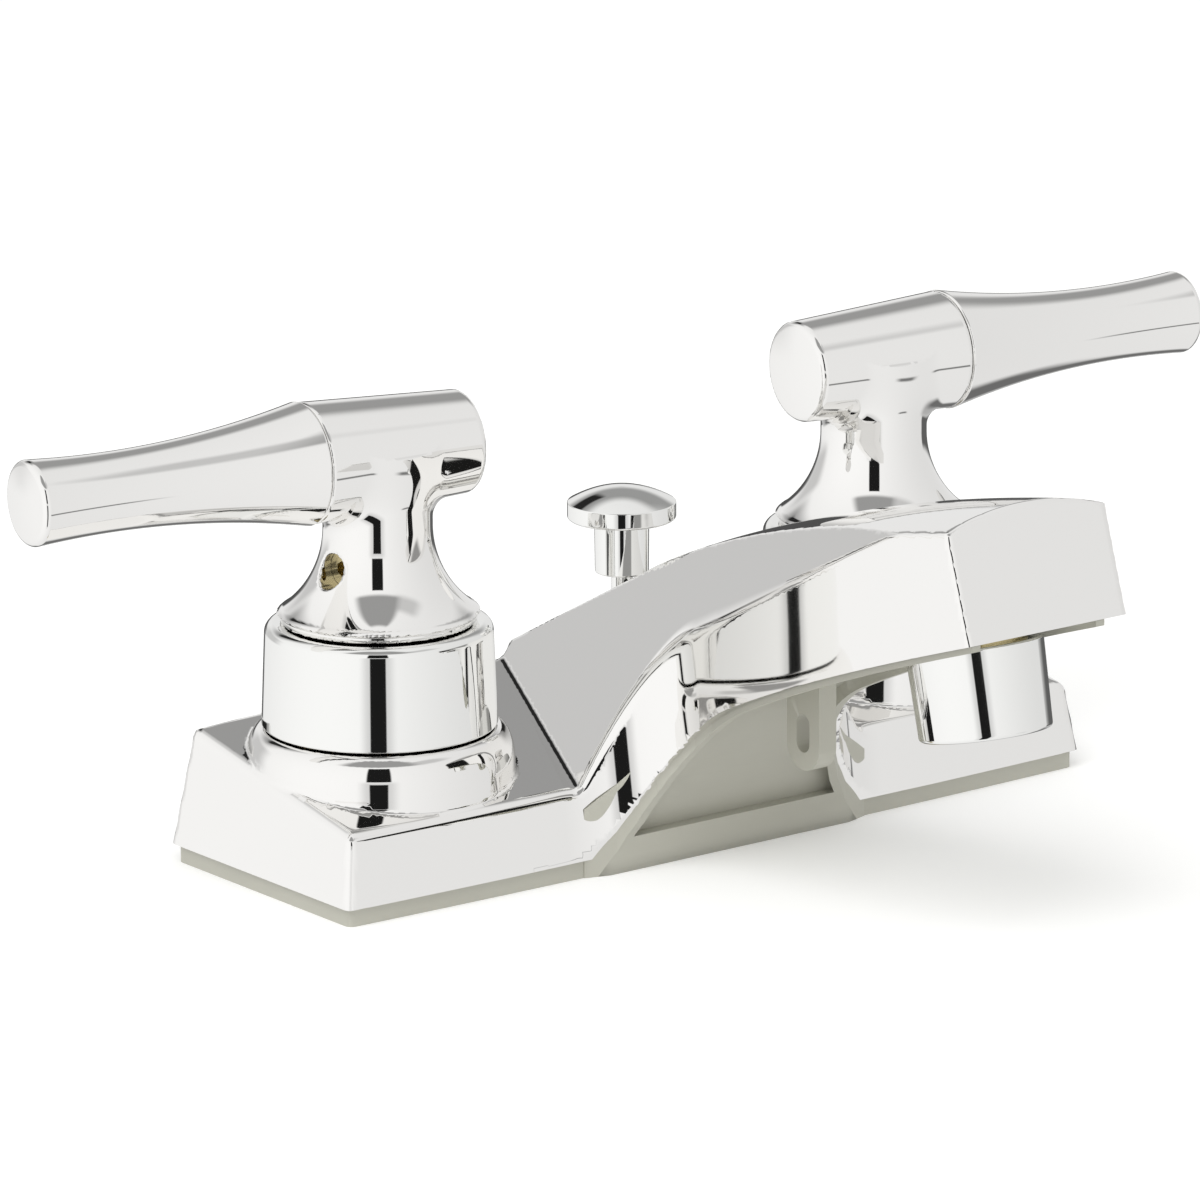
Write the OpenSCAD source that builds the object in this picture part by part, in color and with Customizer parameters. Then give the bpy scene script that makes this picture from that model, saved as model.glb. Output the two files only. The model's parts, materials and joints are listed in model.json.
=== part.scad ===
// Centerset bathroom faucet: two T-shaped lever handles on a one-piece chrome cover
// that is base and spout in one, a moulded underbody, and a pop-up lift rod.
// X runs from the hot to the cold side, -Y to the front, +Z up. The origin lies on
// the deck plane, midway between the two threaded shanks.

/* [Layout] */
// Distance between the two handle axes
handle_spacing = 101.6; // [98:0.2:106]
// Distance of the lift rod behind the handle axes
rod_back = 2.4; // [1.8:0.1:4]

/* [Base] */
// Reach of the base past each handle axis
base_end = 24.35; // [22.5:0.05:28]
// Front edge of the base, forward of the handle axes, at the ends
base_front = 24.6; // [24:0.1:27]
// Back edge of the base, behind the handle axes, at the ends
base_back = 24.3; // [23.5:0.1:27]
// How far the front edge bows out in the middle
base_bow = 1.2; // [0.4:0.1:2]
// How far the back edge bows out in the middle
back_bow = 3; // [1:0.1:4]
// Height of the grey rim under the chrome cover
rim_h = 3; // [2.4:0.1:4]
// Height of the sloping top above the deck, at the handle axes
top_h = 18.65; // [17.5:0.05:19.5]
// Slope of the base's top, falling to the front
top_slope = 10.1; // [8:0.1:12]
// Lean of the base's walls from upright
wall_draft = 8.4; // [5:0.1:10]
// Rounding along the base's top edge
edge_r = 1.5; // [0.8:0.1:2.5]
// Wall of the plated cover
cover_wall = 2.2; // [1.8:0.1:2.6]

/* [Spout] */
// Reach of the spout's tip, forward of the handle axes
spout_reach = 105.4; // [100:0.2:112]
// Half width of the spout from its neck to its tip
spout_half_w = 15.8; // [15:0.1:17.5]
// Radius in plan where the base's front face turns into the spout's side
flare_r = 16.5; // [13:0.5:19]
// Height of the spout's lower edge at its tip
tip_low_h = 53.3; // [51:0.1:55]
// Height of the spout's top corner at its tip
tip_high_h = 70.3; // [69:0.1:73]
// Lean of the tip's front face from upright
tip_lean = 17.7; // [12:0.1:22]
// Radius of the crown across the spout's top
crown_r = 48; // [40:1:70]

/* [Grey underbody] */
// Thickness of the underbody's walls and panel
under_wall = 3; // [2.4:0.1:3.4]
// How far the underbody's lip shows below the cover's edge
lip_drop = 1; // [0.5:0.1:1.5]
// Width of that lip
lip_w = 2; // [1.5:0.1:2.6]
// Depth of the recess inside the lip
recess_d = 1.2; // [0.6:0.1:1.6]
// Width of the chain loop, front to back
loop_w = 8.2; // [7:0.1:9]
// Thickness of the chain loop
loop_t = 3.5; // [2.5:0.1:4.5]
// Height of the chain loop's lowest point above the deck
loop_low_h = 18.2; // [16:0.1:20]
// Width of the slot in the chain loop
loop_slot_w = 3.3; // [2.5:0.1:4]

/* [Bells and domes] */
// Radius of the dome that rises from the cover under each bell
dome_r = 21.7; // [21:0.1:22.2]
// Height of the dome's top above the deck
dome_h = 24; // [23.2:0.1:25]
// Radius of the bell at its lower edge
bell_low_r = 19; // [18.6:0.1:19.6]
// Radius of the bell at its shoulder
bell_high_r = 18.3; // [17.8:0.1:18.6]
// Height of the bell
bell_h = 17; // [16.5:0.1:17.6]
// Wall of the bell
bell_wall = 1.5; // [1:0.1:2]

/* [Handles] */
// Height of the levers' axis above the deck
lever_h = 68.8; // [67:0.1:72]
// Radius of the flange at the foot of the hub
hub_flange_r = 15.8; // [15:0.1:16.4]
// Radius of the hub's neck
neck_r = 8.8; // [8.3:0.1:9.4]
// Length of the barrel on the inner side of the handle axis
barrel_in = 16.15; // [15:0.05:18]
// Length of the barrel on the outer side, up to the seam
barrel_out = 13.25; // [12:0.05:15]
// Radius of the barrel at its inner end
barrel_in_r = 8.3; // [7.8:0.1:8.8]
// Radius of the barrel at the seam
barrel_out_r = 9.8; // [9.5:0.1:10.4]
// Distance of the lever's tip from the handle axis
lever_tip = 62.6; // [58:0.1:68]
// Distance of the lever's waist from the handle axis
lever_waist_at = 48; // [44:0.5:52]
// Radius of the lever at its waist
lever_waist_r = 6.33; // [5.8:0.05:6.9]
// Radius of the lever's hollow flank
lever_flank_r = 165; // [150:1:185]
// Turn of the left lever from straight out, to the back
left_turn = 6.9; // [0:0.1:10]
// Turn of the right lever from straight out, to the front
right_turn = 4.5; // [0:0.1:10]
// Radius of the set screw's hole
screw_hole_r = 2.8; // [2.5:0.1:3]
// Height of the set screw above the deck
screw_h = 51; // [50:0.1:53]
// Turn of the set screw from the lever's direction, to the front
screw_turn = 10; // [0:1:30]

/* [Valves] */
// Radius of the threaded shank, half-inch straight pipe thread
shank_r = 10.48; // [10.3:0.01:10.6]
// Length of the shank below the deck
shank_l = 48; // [44:0.5:60]
// Radius of the water way through the shank
water_r = 6; // [5:0.1:7]
// Radius of the valve body above the underbody
valve_r = 14; // [13.6:0.1:14.4]
// Radius of the bore that holds the cartridge
cartridge_bore_r = 9.5; // [9.2:0.1:10]
// Radius of the valve stem
stem_r = 4; // [3.5:0.1:4.5]
// Radial clearance of the turning stem
stem_fit = 0.05; // [0.02:0.01:0.09]
// Thickness of the deck that the base is clamped to
deck_t = 12; // [10:0.5:14]

/* [Lift rod] */
// Radius of the rod
rod_r = 1.75; // [1.5:0.05:2.2]
// Radial clearance of the rod in its guide
rod_fit = 0.06; // [0.03:0.01:0.09]
// Depth that the rod reaches below the deck
rod_depth = 110; // [90:1:130]
// Radius of the knob's cap
knob_r = 8.9; // [8:0.1:9.6]
// Radius of the knob's stem
knob_stem_r = 4.5; // [4:0.1:5]
// Height of the knob's lower end above the deck
knob_low_h = 40.5; // [40.2:0.1:42]
// Length of the knob's stem
knob_stem_l = 9; // [7:0.1:12]

/* [Water way and outlet] */
// Outer radius of the copper tubes
tube_r = 3.97; // [3.7:0.01:4.1]
// Wall of the copper tubes
tube_wall = 0.8; // [0.6:0.05:1]
// Distance of the cross tube in front of the handle axes
cross_front = 7; // [6.6:0.1:7.4]
// Height of the cross tube above the deck
cross_h = 9.4; // [9.2:0.1:9.6]
// Tilt of the outlet, to the front
outlet_tilt = 12; // [8:0.5:16]
// Distance of the outlet's centre behind the spout's tip
outlet_back = 14.7; // [14:0.1:17]
// Height of the outlet above the deck
outlet_h = 33.5; // [32:0.1:36]
// Radius of the outlet's chrome shell at its mouth
aerator_r = 10.55; // [10:0.05:10.9]

/* [Hidden] */

chrome = [0.82, 0.82, 0.84];
grey_plastic = [0.64, 0.635, 0.6];
brass = [0.78, 0.62, 0.36];
copper = [0.76, 0.45, 0.33];
white_plastic = [0.9, 0.9, 0.88];
ceramic = [0.93, 0.92, 0.9];
black_rubber = [0.12, 0.12, 0.12];
steel = [0.7, 0.7, 0.7];

// Gap between pieces of the cover and the valves that only have to pass each other
seat_gap = 0.3;
// Fit between pieces that are pushed together
push_fit = 0.1;
// Overshoot of a cutting shape past the surface it opens
over = 1;

axis_x = handle_spacing / 2;
base_l = handle_spacing + 2 * base_end;
// Facets of the large round forms, of small holes and of the finest ones
smooth = 72;
fine = 48;
small = 32;
steps = 8;
// A height above the whole faucet, for shapes that are cut to it
clear_h = tip_high_h + 20;

// Height of the base's top plane
function top_z(y) = top_h + tan(top_slope) * y;

// A point on a quadratic curve with control points a, b and c
function bend(a, b, c, t) = (1 - t) * (1 - t) * a + 2 * t * (1 - t) * b + t * t * c;
function bend_points(a, b, c, n) = [for (i = [0:n]) bend(a, b, c, i / n)];

// Points of an arc about a centre, from one angle to another
function arc(centre, r, from, to, n = 3) =
    [for (i = [0:n]) let (a = from + (to - from) * i / n) centre + r * [cos(a), sin(a)]];

// The spout's lower edge, seen from the side, as [y, z] from the front face to the tip
front_y = -base_front - base_bow + 0.4;
neck_y = front_y - flare_r;
edge_pull = [front_y - 5.1, 22.6];
edge_mid = [neck_y - 2.9, 30];
edge_far = edge_mid + [-19.7, 9.5];
low_edge = concat(
    bend_points([front_y, rim_h], edge_pull, edge_mid, 10),
    [for (i = [1:steps]) bend(edge_mid, edge_far, [-spout_reach, tip_low_h], i / steps)]
);

// The spout's top ridge, seen from the side, from the back edge to the tip
ridge_rise = 0.53;
ridge_foot = 37.93;
function ridge_line(y) = [y, ridge_foot - ridge_rise * y];
tip_top_y = -spout_reach + (tip_high_h - tip_low_h) * tan(tip_lean);
back_y = base_back + back_bow - tan(wall_draft) * (top_z(base_back) - rim_h) - 0.6 * edge_r;
back_round = 1.6;
// Past the handles the ridge bends down in two quadratic curves that meet at ridge_mid
ridge_mid = [-58, 61.5];
ridge_far = [-78.8, 67.1];
ridge = concat(
    [[back_y, top_z(back_y) - 0.5], [back_y - 0.5, top_z(back_y) + 1],
     ridge_line(back_y - back_round) - [0, 0.3]],
    [ridge_line(18), ridge_line(2)],
    bend_points(ridge_line(-14), ridge_line(-30.4), ridge_mid, steps),
    [for (i = [1:steps]) bend(ridge_mid, ridge_far, [tip_top_y, tip_high_h], i / steps)],
    [[-spout_reach - 2, tip_high_h + 0.8]]
);

// Height of a curve of [y, z] points, with y falling along it, at a given y
function height_at(line, y, i = 0) =
    i >= len(line) - 2 || y >= line[i + 1][0]
    ? line[i][1] + (line[i + 1][1] - line[i][1]) * (y - line[i][0]) / (line[i + 1][0] - line[i][0])
    : height_at(line, y, i + 1);

// The near-flat flank beside the ridge lies on this plane, a*x - b*y - c*z = -reach
flank_out = 0.822;
flank_back = 0.256;
flank_up = 0.509;
flank_reach = 25;
function flank_x(y, z, inset) = (flank_reach - inset - flank_back * y - flank_up * z) / flank_out;
function flank_z(y, x, inset) = (flank_reach - inset - flank_back * y - flank_out * x) / flank_up;

// Half width of the spout's side wall in plan; a hollow curve joins it to the base's front
function side_x(y) =
    y > front_y ? flank_x(y, top_z(y), 0) + 3
    : y > neck_y ? spout_half_w + flare_r - sqrt(pow(flare_r, 2) - pow(y - neck_y, 2))
    : spout_half_w;

// Stations along the spout, from the back of the base to the tip
stations = concat(
    [for (i = [0:4]) ridge[i][0]],
    [-8, -14, -19, front_y + 0.02],
    [for (i = [1:8]) front_y - flare_r * (1 - cos(90 * i / 8))],
    [for (i = [1:9]) neck_y + i * (-spout_reach - 2 - neck_y) / 9]
);

// Outline of one cross section, right half from bottom to crown; inset shrinks it for the cavity
function section_half(y, inset) =
    let (
        w = side_x(y) - inset,
        floor_z = (y > front_y ? top_z(y) - 8 : height_at(low_edge, y)) - 2.5 * inset,
        ridge_z = height_at(ridge, y) - 1.15 * inset,
        corner_z = max(floor_z + 1.5, min(flank_z(y, w, inset), ridge_z - 0.8)),
        ridge_x = max(2, min(flank_x(y, ridge_z, inset), w - 0.8)),
        near = y > front_y ? 0 : 1,
        // The edge between wall and flank is soft at the neck and crisp towards the tip
        neck_round = max(0.8, min(5, 5 * (y + 60) / 30)),
        round_r = inset > 0 ? 0.8 : near * neck_round + (1 - near) * 0.5,
        down = min(round_r, corner_z - floor_z - 0.5),
        corner = [w, corner_z],
        ridge_p = [ridge_x, ridge_z],
        lean = (ridge_p - corner) / norm(ridge_p - corner),
        along = min(round_r, 0.45 * norm(ridge_p - corner)),
        soft = min(1.2, 0.3 * norm(ridge_p - corner)),
        crown_rise = crown_r - sqrt(pow(crown_r, 2) - pow(ridge_x, 2))
    )
    concat(
        [[w, floor_z]],
        bend_points([w, corner_z - down], corner, corner + along * lean, 4),
        bend_points(ridge_p - soft * lean, ridge_p,
            [ridge_x - soft, ridge_z + crown_rise * (1 - pow(1 - soft / ridge_x, 2))], 3),
        [for (s = [0.6, 0.3]) [ridge_x * s, ridge_z + crown_rise * (1 - s * s)]],
        [[0, ridge_z + crown_rise]]
    );

function section(y, inset) =
    let (half = section_half(y, inset), n = len(half))
    [for (i = [0:2 * n - 2]) i < n ? [half[i][0], y, half[i][1]]
        : [-half[2 * n - 2 - i][0], y, half[2 * n - 2 - i][1]]];

// Faces of a skin over equal rings, with both ends closed
function skin_faces(rings, n) = concat(
    [for (k = [0:rings - 2]) for (j = [0:n - 1]) let (m = (j + 1) % n)
        each [[k * n + j, (k + 1) * n + m, k * n + m], [k * n + j, (k + 1) * n + j, (k + 1) * n + m]]],
    [[for (j = [0:n - 1]) j]],
    [[for (j = [n - 1:-1:0]) (rings - 1) * n + j]]
);

module spout_solid(inset) {
    rings = [for (y = stations) section(y, inset)];
    polyhedron(points = [for (r = rings) each r], faces = skin_faces(len(rings), len(rings[0])));
}

// Outline of the base in plan, from the front right corner round to the left: each point
// is a share of the half length, front or back, and a direction on its corner rounding
corner_r = 1.2;
arc_step = 22.5;
edge_points = concat(
    [for (a = [-90:arc_step:0]) [1, -1, cos(a), sin(a)]],
    [for (a = [0:arc_step:90]) [1, 1, cos(a), sin(a)]],
    [for (i = [1:9]) [1 - i / 5, 1, 0, 1]],
    [for (a = [90:arc_step:180]) [-1, 1, cos(a), sin(a)]],
    [for (a = [180:arc_step:270]) [-1, -1, cos(a), sin(a)]],
    [for (i = [1:9]) [i / 5 - 1, -1, 0, -1]]
);
function base_point(e, step) =
    let (
        x = e[0] * (base_l / 2 - corner_r - step),
        bow = 1 - e[0] * e[0],
        y = e[1] < 0 ? -(base_front - corner_r - step) - base_bow * bow
            : base_back - corner_r - step + back_bow * bow
    ) [x + corner_r * e[2], y + corner_r * e[3]];

// Plan outline of the base, stepped inward by the same amount all round
function base_plan(step) = [for (e = edge_points) base_point(e, step)];

// One ring of the leaning base wall, at a drop below the top plane and an extra step inward
function base_ring(drop, step) =
    [for (e = edge_points)
        let (
            start = base_point(e, 0),
            lean_step = tan(wall_draft) * (top_z(start[1]) - drop - rim_h),
            p = base_point(e, lean_step + step)
        ) [p[0], p[1], top_z(p[1]) - drop]];

module base_solid() {
    rings = concat(
        [[for (p = base_plan(0)) [p[0], p[1], rim_h]]],
        [for (a = [0:arc_step:90]) base_ring(edge_r * (1 - sin(a)), edge_r * (1 - cos(a)))]
    );
    polyhedron(points = [for (r = rings) each r], faces = skin_faces(len(rings), len(edge_points)));
}

// The cavity of the base: straight walls under a sloping ceiling
cavity_step = cover_wall + tan(wall_draft) * (top_h - rim_h);
module base_cavity() {
    reach = base_back + back_bow + 10;
    intersection() {
        translate([0, 0, rim_h - over])
            linear_extrude(height = clear_h)
                polygon(base_plan(cavity_step));
        rotate([0, -90, 0])
            linear_extrude(height = base_l, center = true)
                polygon([
                    [rim_h - over, -reach], [rim_h - over, reach],
                    [top_z(reach) - cover_wall, reach], [top_z(-reach) - cover_wall, -reach]
                ]);
    }
}

module at_axis(side) {
    translate([side * axis_x, 0, 0]) children();
}

// A profile of [radius, height] points turned about the upright axis
module turned(points) {
    rotate_extrude($fn = smooth) polygon(points);
}

// Height inside the base from which each dome rises
dome_foot = 8;
module dome_outer() {
    swell = 2.9;
    rise = 5.6;
    turned(concat(
        [[0, dome_foot], [dome_r, dome_foot]],
        [for (a = [0:15:90]) [dome_r - swell * (1 - cos(a)), dome_h - rise * (1 - sin(a))]],
        [[0, dome_h]]
    ));
}

// Two screws on each side: one near the middle, one at the end of the base
screw_middle = [25, 15];
screw_end = [axis_x + base_end - 5.2, 14.5];
module at_screws() {
    for (side = [-1, 1])
        for (p = [screw_middle, screw_end])
            translate([side * p[0], p[1], 0]) children();
}
boss_r = 3;
screw_r = 1.5;
screw_l = 9;
screw_head_r = 2.9;
screw_head_h = 1.1;
head_sink = 0.2;
neck_hole_r = valve_r + 0.4;
rod_hole_r = rod_r + 0.5;

// Room for the two valve bodies: their flanges, and the round part above
valve_flange_r = 16;
valve_flange_h = 4;
module valve_room() {
    for (side = [-1, 1])
        at_axis(side) {
            translate([0, 0, rim_h])
                cylinder(r = valve_flange_r + seat_gap, h = valve_flange_h + seat_gap, $fn = smooth);
            translate([0, 0, rim_h])
                cylinder(r = neck_hole_r, h = clear_h, $fn = smooth);
        }
}

module body_cover() color(chrome) {
    difference() {
        union() {
            difference() {
                union() {
                    base_solid();
                    spout_solid(0);
                    for (side = [-1, 1]) at_axis(side) dome_outer();
                }
                base_cavity();
                difference() {
                    spout_solid(cover_wall);
                    tip_cut(cover_wall);
                }
                for (side = [-1, 1])
                    at_axis(side)
                        translate([0, 0, dome_foot - over])
                            cylinder(r = dome_r - cover_wall, h = dome_h - cover_wall - dome_foot + over,
                                $fn = smooth);
                // The open front under the spout
                under_spout_cut();
            }
            // Bosses under the top that take the screws
            for (side = [-1, 1])
                for (p = [screw_middle, screw_end])
                    translate([side * p[0], p[1], rim_h])
                        cylinder(r = boss_r, h = top_z(p[1] - boss_r) - rim_h - cover_wall / 2,
                            $fn = small);
        }
        valve_room();
        at_screws()
            translate([0, 0, rim_h - over])
                cylinder(r = screw_r + push_fit / 2, h = screw_l + over, $fn = small);
        translate([0, rod_back, 0]) cylinder(r = rod_hole_r, h = clear_h, $fn = small);
        tip_cut(0);
    }
}

// Everything below the spout's lower edge, in front of the base and within its front opening
mouth_half_w = spout_half_w + flare_r;
mouth_depth = 6;
module under_spout_cut() {
    far = spout_reach + 20;
    back = base_front - mouth_depth;
    rotate([90, 0, -90])
        linear_extrude(height = 2 * (mouth_half_w - 0.4), center = true)
            polygon(concat(
                [for (p = low_edge) [-p[0], p[1]]],
                [[far, tip_low_h], [far, -over], [back, -over], [back, rim_h]]
            ));
}

// Everything in front of a plane parallel to the leaning tip face, a step behind it
module tip_cut(step) {
    block = 4 * spout_half_w;
    translate([0, -spout_reach + step, tip_low_h])
        rotate([-tip_lean, 0, 0])
            translate([-block / 2, -block, -block / 2])
                cube(block);
}

// Curve of [y, z] points moved square to itself
function shifted(line, d) =
    [for (i = [0:len(line) - 1])
        let (
            a = line[max(i - 1, 0)],
            b = line[min(i + 1, len(line) - 1)],
            along = (b - a) / norm(b - a)
        ) [line[i][0] + along[1] * d, line[i][1] - along[0] * d]];

// Plan of the spout's inside, as far as the underbody may reach
function spout_plan(step) =
    let (
        half = [for (y = concat([for (i = [1:8]) front_y - flare_r * (1 - cos(90 * i / 8))],
            [-spout_reach + cover_wall])) [side_x(y) - step, y]],
        n = len(half),
        mouth = mouth_half_w - step - 1,
        back = -base_front + mouth_depth
    )
    concat(
        [[mouth, back], [mouth, front_y + 0.4]],
        half,
        [for (i = [n - 1:-1:0]) [-half[i][0], half[i][1]]],
        [[-mouth, front_y + 0.4], [-mouth, back]]
    );

// A slab that follows the spout's lower edge, between two distances square to it
module edge_slab(from, to) {
    low = shifted(low_edge, from);
    high = shifted(low_edge, to);
    foot = 0.01;
    rotate([90, 0, -90])
        linear_extrude(height = 2 * mouth_half_w, center = true)
            polygon(concat(
                [[-low[0][0], foot]],
                [for (p = low) [-p[0], p[1]]],
                [for (i = [len(high) - 1:-1:0]) [-high[i][0], high[i][1]]],
                [[-high[0][0], foot]]
            ));
}

outlet_y = -spout_reach + outlet_back;
module at_outlet() {
    translate([0, outlet_y, outlet_h]) rotate([-outlet_tilt, 0, 0]) children();
}
shell_l = 14.6;
shell_flare = 0.35;
outlet_hole_r = aerator_r + 2 * shell_flare;
boss_top = shell_l + 3.6;
boss_h = 7;
outlet_boss_r = spout_half_w - cover_wall - 0.35;
collar_r = outlet_boss_r - 0.6;
collar_t = 2.2;

module underbody() color(grey_plastic) {
    shank_hole_r = shank_r + 0.4;
    rim_step = 0.8;
    wall_h = 5;
    wall_t = 1.8;
    wall_in = cavity_step + push_fit;
    socket_wall = 1.6;
    difference() {
        union() {
            // Base plate, with an upstanding wall inside the cover
            linear_extrude(height = rim_h) polygon(base_plan(rim_step));
            difference() {
                linear_extrude(height = rim_h + wall_h) polygon(base_plan(wall_in));
                translate([0, 0, rim_h])
                    linear_extrude(height = wall_h + over)
                        polygon(base_plan(wall_in + wall_t));
                translate([0, -base_front, rim_h + wall_h / 2 + over / 2])
                    cube([2 * mouth_half_w + 2, 20, wall_h + over], center = true);
            }
            // Front wall and spout panel in one sweep
            intersection() {
                difference() {
                    edge_slab(-lip_drop, under_wall);
                    intersection() {
                        edge_slab(-lip_drop - over, recess_d);
                        translate([0, 0, rim_h + 3])
                            linear_extrude(height = clear_h)
                                polygon(spout_plan(cover_wall + lip_w));
                    }
                }
                linear_extrude(height = clear_h) polygon(spout_plan(cover_wall + seat_gap));
            }
            // Seat of the outlet nipple
            intersection() {
                at_outlet()
                    translate([0, 0, boss_top - boss_h])
                        cylinder(r = outlet_boss_r, h = boss_h, $fn = smooth);
                above_panel();
            }
            chain_loop();
            // Socket that stands round the lift rod's guide
            translate([0, rod_back, 0])
                cylinder(r = guide_r + socket_wall, h = rim_h + wall_h, $fn = small);
        }
        for (side = [-1, 1])
            at_axis(side)
                translate([0, 0, -over])
                    cylinder(r = shank_hole_r, h = rim_h + 2 * over, $fn = smooth);
        valve_room();
        at_outlet() {
            cylinder(r = outlet_hole_r, h = boss_top - 3, $fn = smooth);
            cylinder(r = nipple_r + push_fit, h = boss_top + over, $fn = smooth);
            // Room for the nipple's collar where the panel rises beside it
            translate([0, 0, boss_top])
                cylinder(r = collar_r + seat_gap, h = collar_t + 2 * over, $fn = smooth);
        }
        translate([0, rod_back, -over]) {
            cylinder(r = rod_hole_r, h = clear_h, $fn = small);
            translate([0, 0, rim_h + over])
                cylinder(r = guide_r + push_fit, h = wall_h + over, $fn = small);
        }
        at_screws() {
            translate([0, 0, -over]) {
                cylinder(r = screw_r + 0.3, h = rim_h + 2 * over, $fn = small);
                cylinder(r = screw_head_r + 0.4, h = over + head_sink + screw_head_h + 0.1, $fn = small);
            }
            // Room for the cover's bosses
            translate([0, 0, rim_h]) cylinder(r = boss_r + seat_gap, h = wall_h + over, $fn = small);
        }
        // The tip's wall stands before the panel, and the lip runs on under it
        tip_cut(0.8);
        difference() {
            tip_cut(cover_wall + seat_gap);
            edge_slab(-lip_drop - over, -push_fit);
        }
    }
}

// Space above the spout panel's lower face
module above_panel() {
    rotate([90, 0, -90])
        linear_extrude(height = 4 * spout_half_w, center = true)
            polygon(concat(
                [for (p = shifted(low_edge, recess_d + 0.2)) [-p[0], p[1]]],
                [[spout_reach, clear_h], [0, clear_h], [0, rim_h]]
            ));
}

// Tab under the spout with a slot for the stopper's chain
module chain_loop() {
    loop_y = neck_y - 5.3;
    round_r = loop_w / 2;
    top = height_at(low_edge, loop_y) + recess_d + 0.8;
    slot_low = loop_low_h + 4.6;
    slot_l = 3;
    difference() {
        union() {
            translate([-loop_t / 2, loop_y, loop_low_h + round_r])
                rotate([0, 90, 0])
                    cylinder(r = round_r, h = loop_t, $fn = fine);
            translate([-loop_t / 2, loop_y - round_r, loop_low_h + round_r])
                cube([loop_t, loop_w, top - loop_low_h - round_r]);
        }
        for (z = [slot_low, slot_low + slot_l])
            translate([0, loop_y, z])
                rotate([0, 90, 0])
                    cylinder(r = loop_slot_w / 2, h = 2 * loop_t, center = true, $fn = small);
        translate([-loop_t, loop_y - loop_slot_w / 2, slot_low])
            cube([2 * loop_t, loop_slot_w, slot_l]);
    }
}

// Four screws from below, each with a cross slot in its head
module cover_screws() color(steel) {
    slot_l = 3.8;
    slot_w = 0.6;
    at_screws()
        translate([0, 0, head_sink])
            difference() {
                union() {
                    cylinder(r = screw_head_r, h = screw_head_h, $fn = small);
                    cylinder(r = screw_r, h = screw_l, $fn = small);
                }
                for (turn = [0, 90])
                    rotate([0, 0, turn])
                        translate([-slot_l / 2, -slot_w / 2, -over])
                            cube([slot_l, slot_w, over + 0.7]);
            }
}

neck_top = 33.5;
neck_thread_r = 12.5;
seal_z = rim_h + 1;
seal_t = 3;
tube_boss_r = tube_r + 1.2;
disc_t = 2.5;
disc_r = 7.3;
disc_gap = 0.05;
cartridge_top = 34;
shank_split = 24;
groove_w = 2;

module valve_body(side) color(brass) {
    at_axis(side)
        difference() {
            union() {
                translate([0, 0, rim_h])
                    cylinder(r = valve_flange_r, h = valve_flange_h, $fn = smooth);
                translate([0, 0, rim_h + 1])
                    cylinder(r = valve_r, h = dome_h - rim_h, $fn = smooth);
                // Boss that takes the end of the cross tube
                translate([0, -cross_front, cross_h])
                    rotate([0, -side * 90, 0])
                        cylinder(r = tube_boss_r, h = valve_r + 2, $fn = smooth);
                translate([0, 0, rim_h + 1])
                    cylinder(r = neck_thread_r, h = neck_top - rim_h - 1, $fn = smooth);
                translate([0, 0, -shank_l])
                    cylinder(r = shank_r, h = shank_l + rim_h + 1, $fn = smooth);
            }
            translate([0, 0, -shank_l - over])
                cylinder(r = water_r, h = shank_l + seal_z + 2 * over, $fn = smooth);
            translate([0, 0, seal_z])
                cylinder(r = cartridge_bore_r, h = neck_top, $fn = smooth);
            translate([0, -cross_front, cross_h])
                rotate([0, -side * 90, 0])
                    cylinder(r = tube_r + push_fit / 2, h = 2 * valve_r, $fn = smooth);
            // Relief groove between the deck thread and the supply thread
            translate([0, 0, -shank_split - groove_w])
                difference() {
                    cylinder(r = shank_r + over, h = groove_w, $fn = smooth);
                    cylinder(r = shank_r - 0.7, h = groove_w, $fn = smooth);
                }
        }
}

module seat_seal(side) color(black_rubber) {
    at_axis(side)
        translate([0, 0, seal_z])
            difference() {
                cylinder(r = disc_r, h = seal_t, $fn = smooth);
                translate([0, 0, -over]) cylinder(r = water_r - 0.4, h = seal_t + 2 * over, $fn = smooth);
            }
}

// A ceramic disc with two openings of radius r, at a distance from its centre
module port_disc(at, r) {
    difference() {
        cylinder(r = disc_r, h = disc_t, $fn = smooth);
        for (x = [-at, at])
            translate([x, 0, -over]) cylinder(r = r, h = disc_t + 2 * over, $fn = small);
    }
}

// The fixed disc has two holes, and the turning disc two notches that pass over them
port_at = 3.4;
port_r = 1.9;
notch_at = 5.4;
notch_r = 2.6;
module fixed_disc(side) color(ceramic) {
    at_axis(side) translate([0, 0, seal_z + seal_t]) port_disc(port_at, port_r);
}

function lever_angle(side) = side < 0 ? 180 - left_turn : -right_turn;

module turning_disc(side) color(ceramic) {
    at_axis(side)
        rotate([0, 0, lever_angle(side) + 90])
            translate([0, 0, seal_z + seal_t + disc_t + disc_gap])
                port_disc(notch_at, notch_r);
}

driver_z = seal_z + seal_t + 2 * disc_t + disc_gap;
driver_t = 2;
sleeve_inner_r = disc_r + 0.1;
ring_z = 26;
ring_groove = 2;

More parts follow.
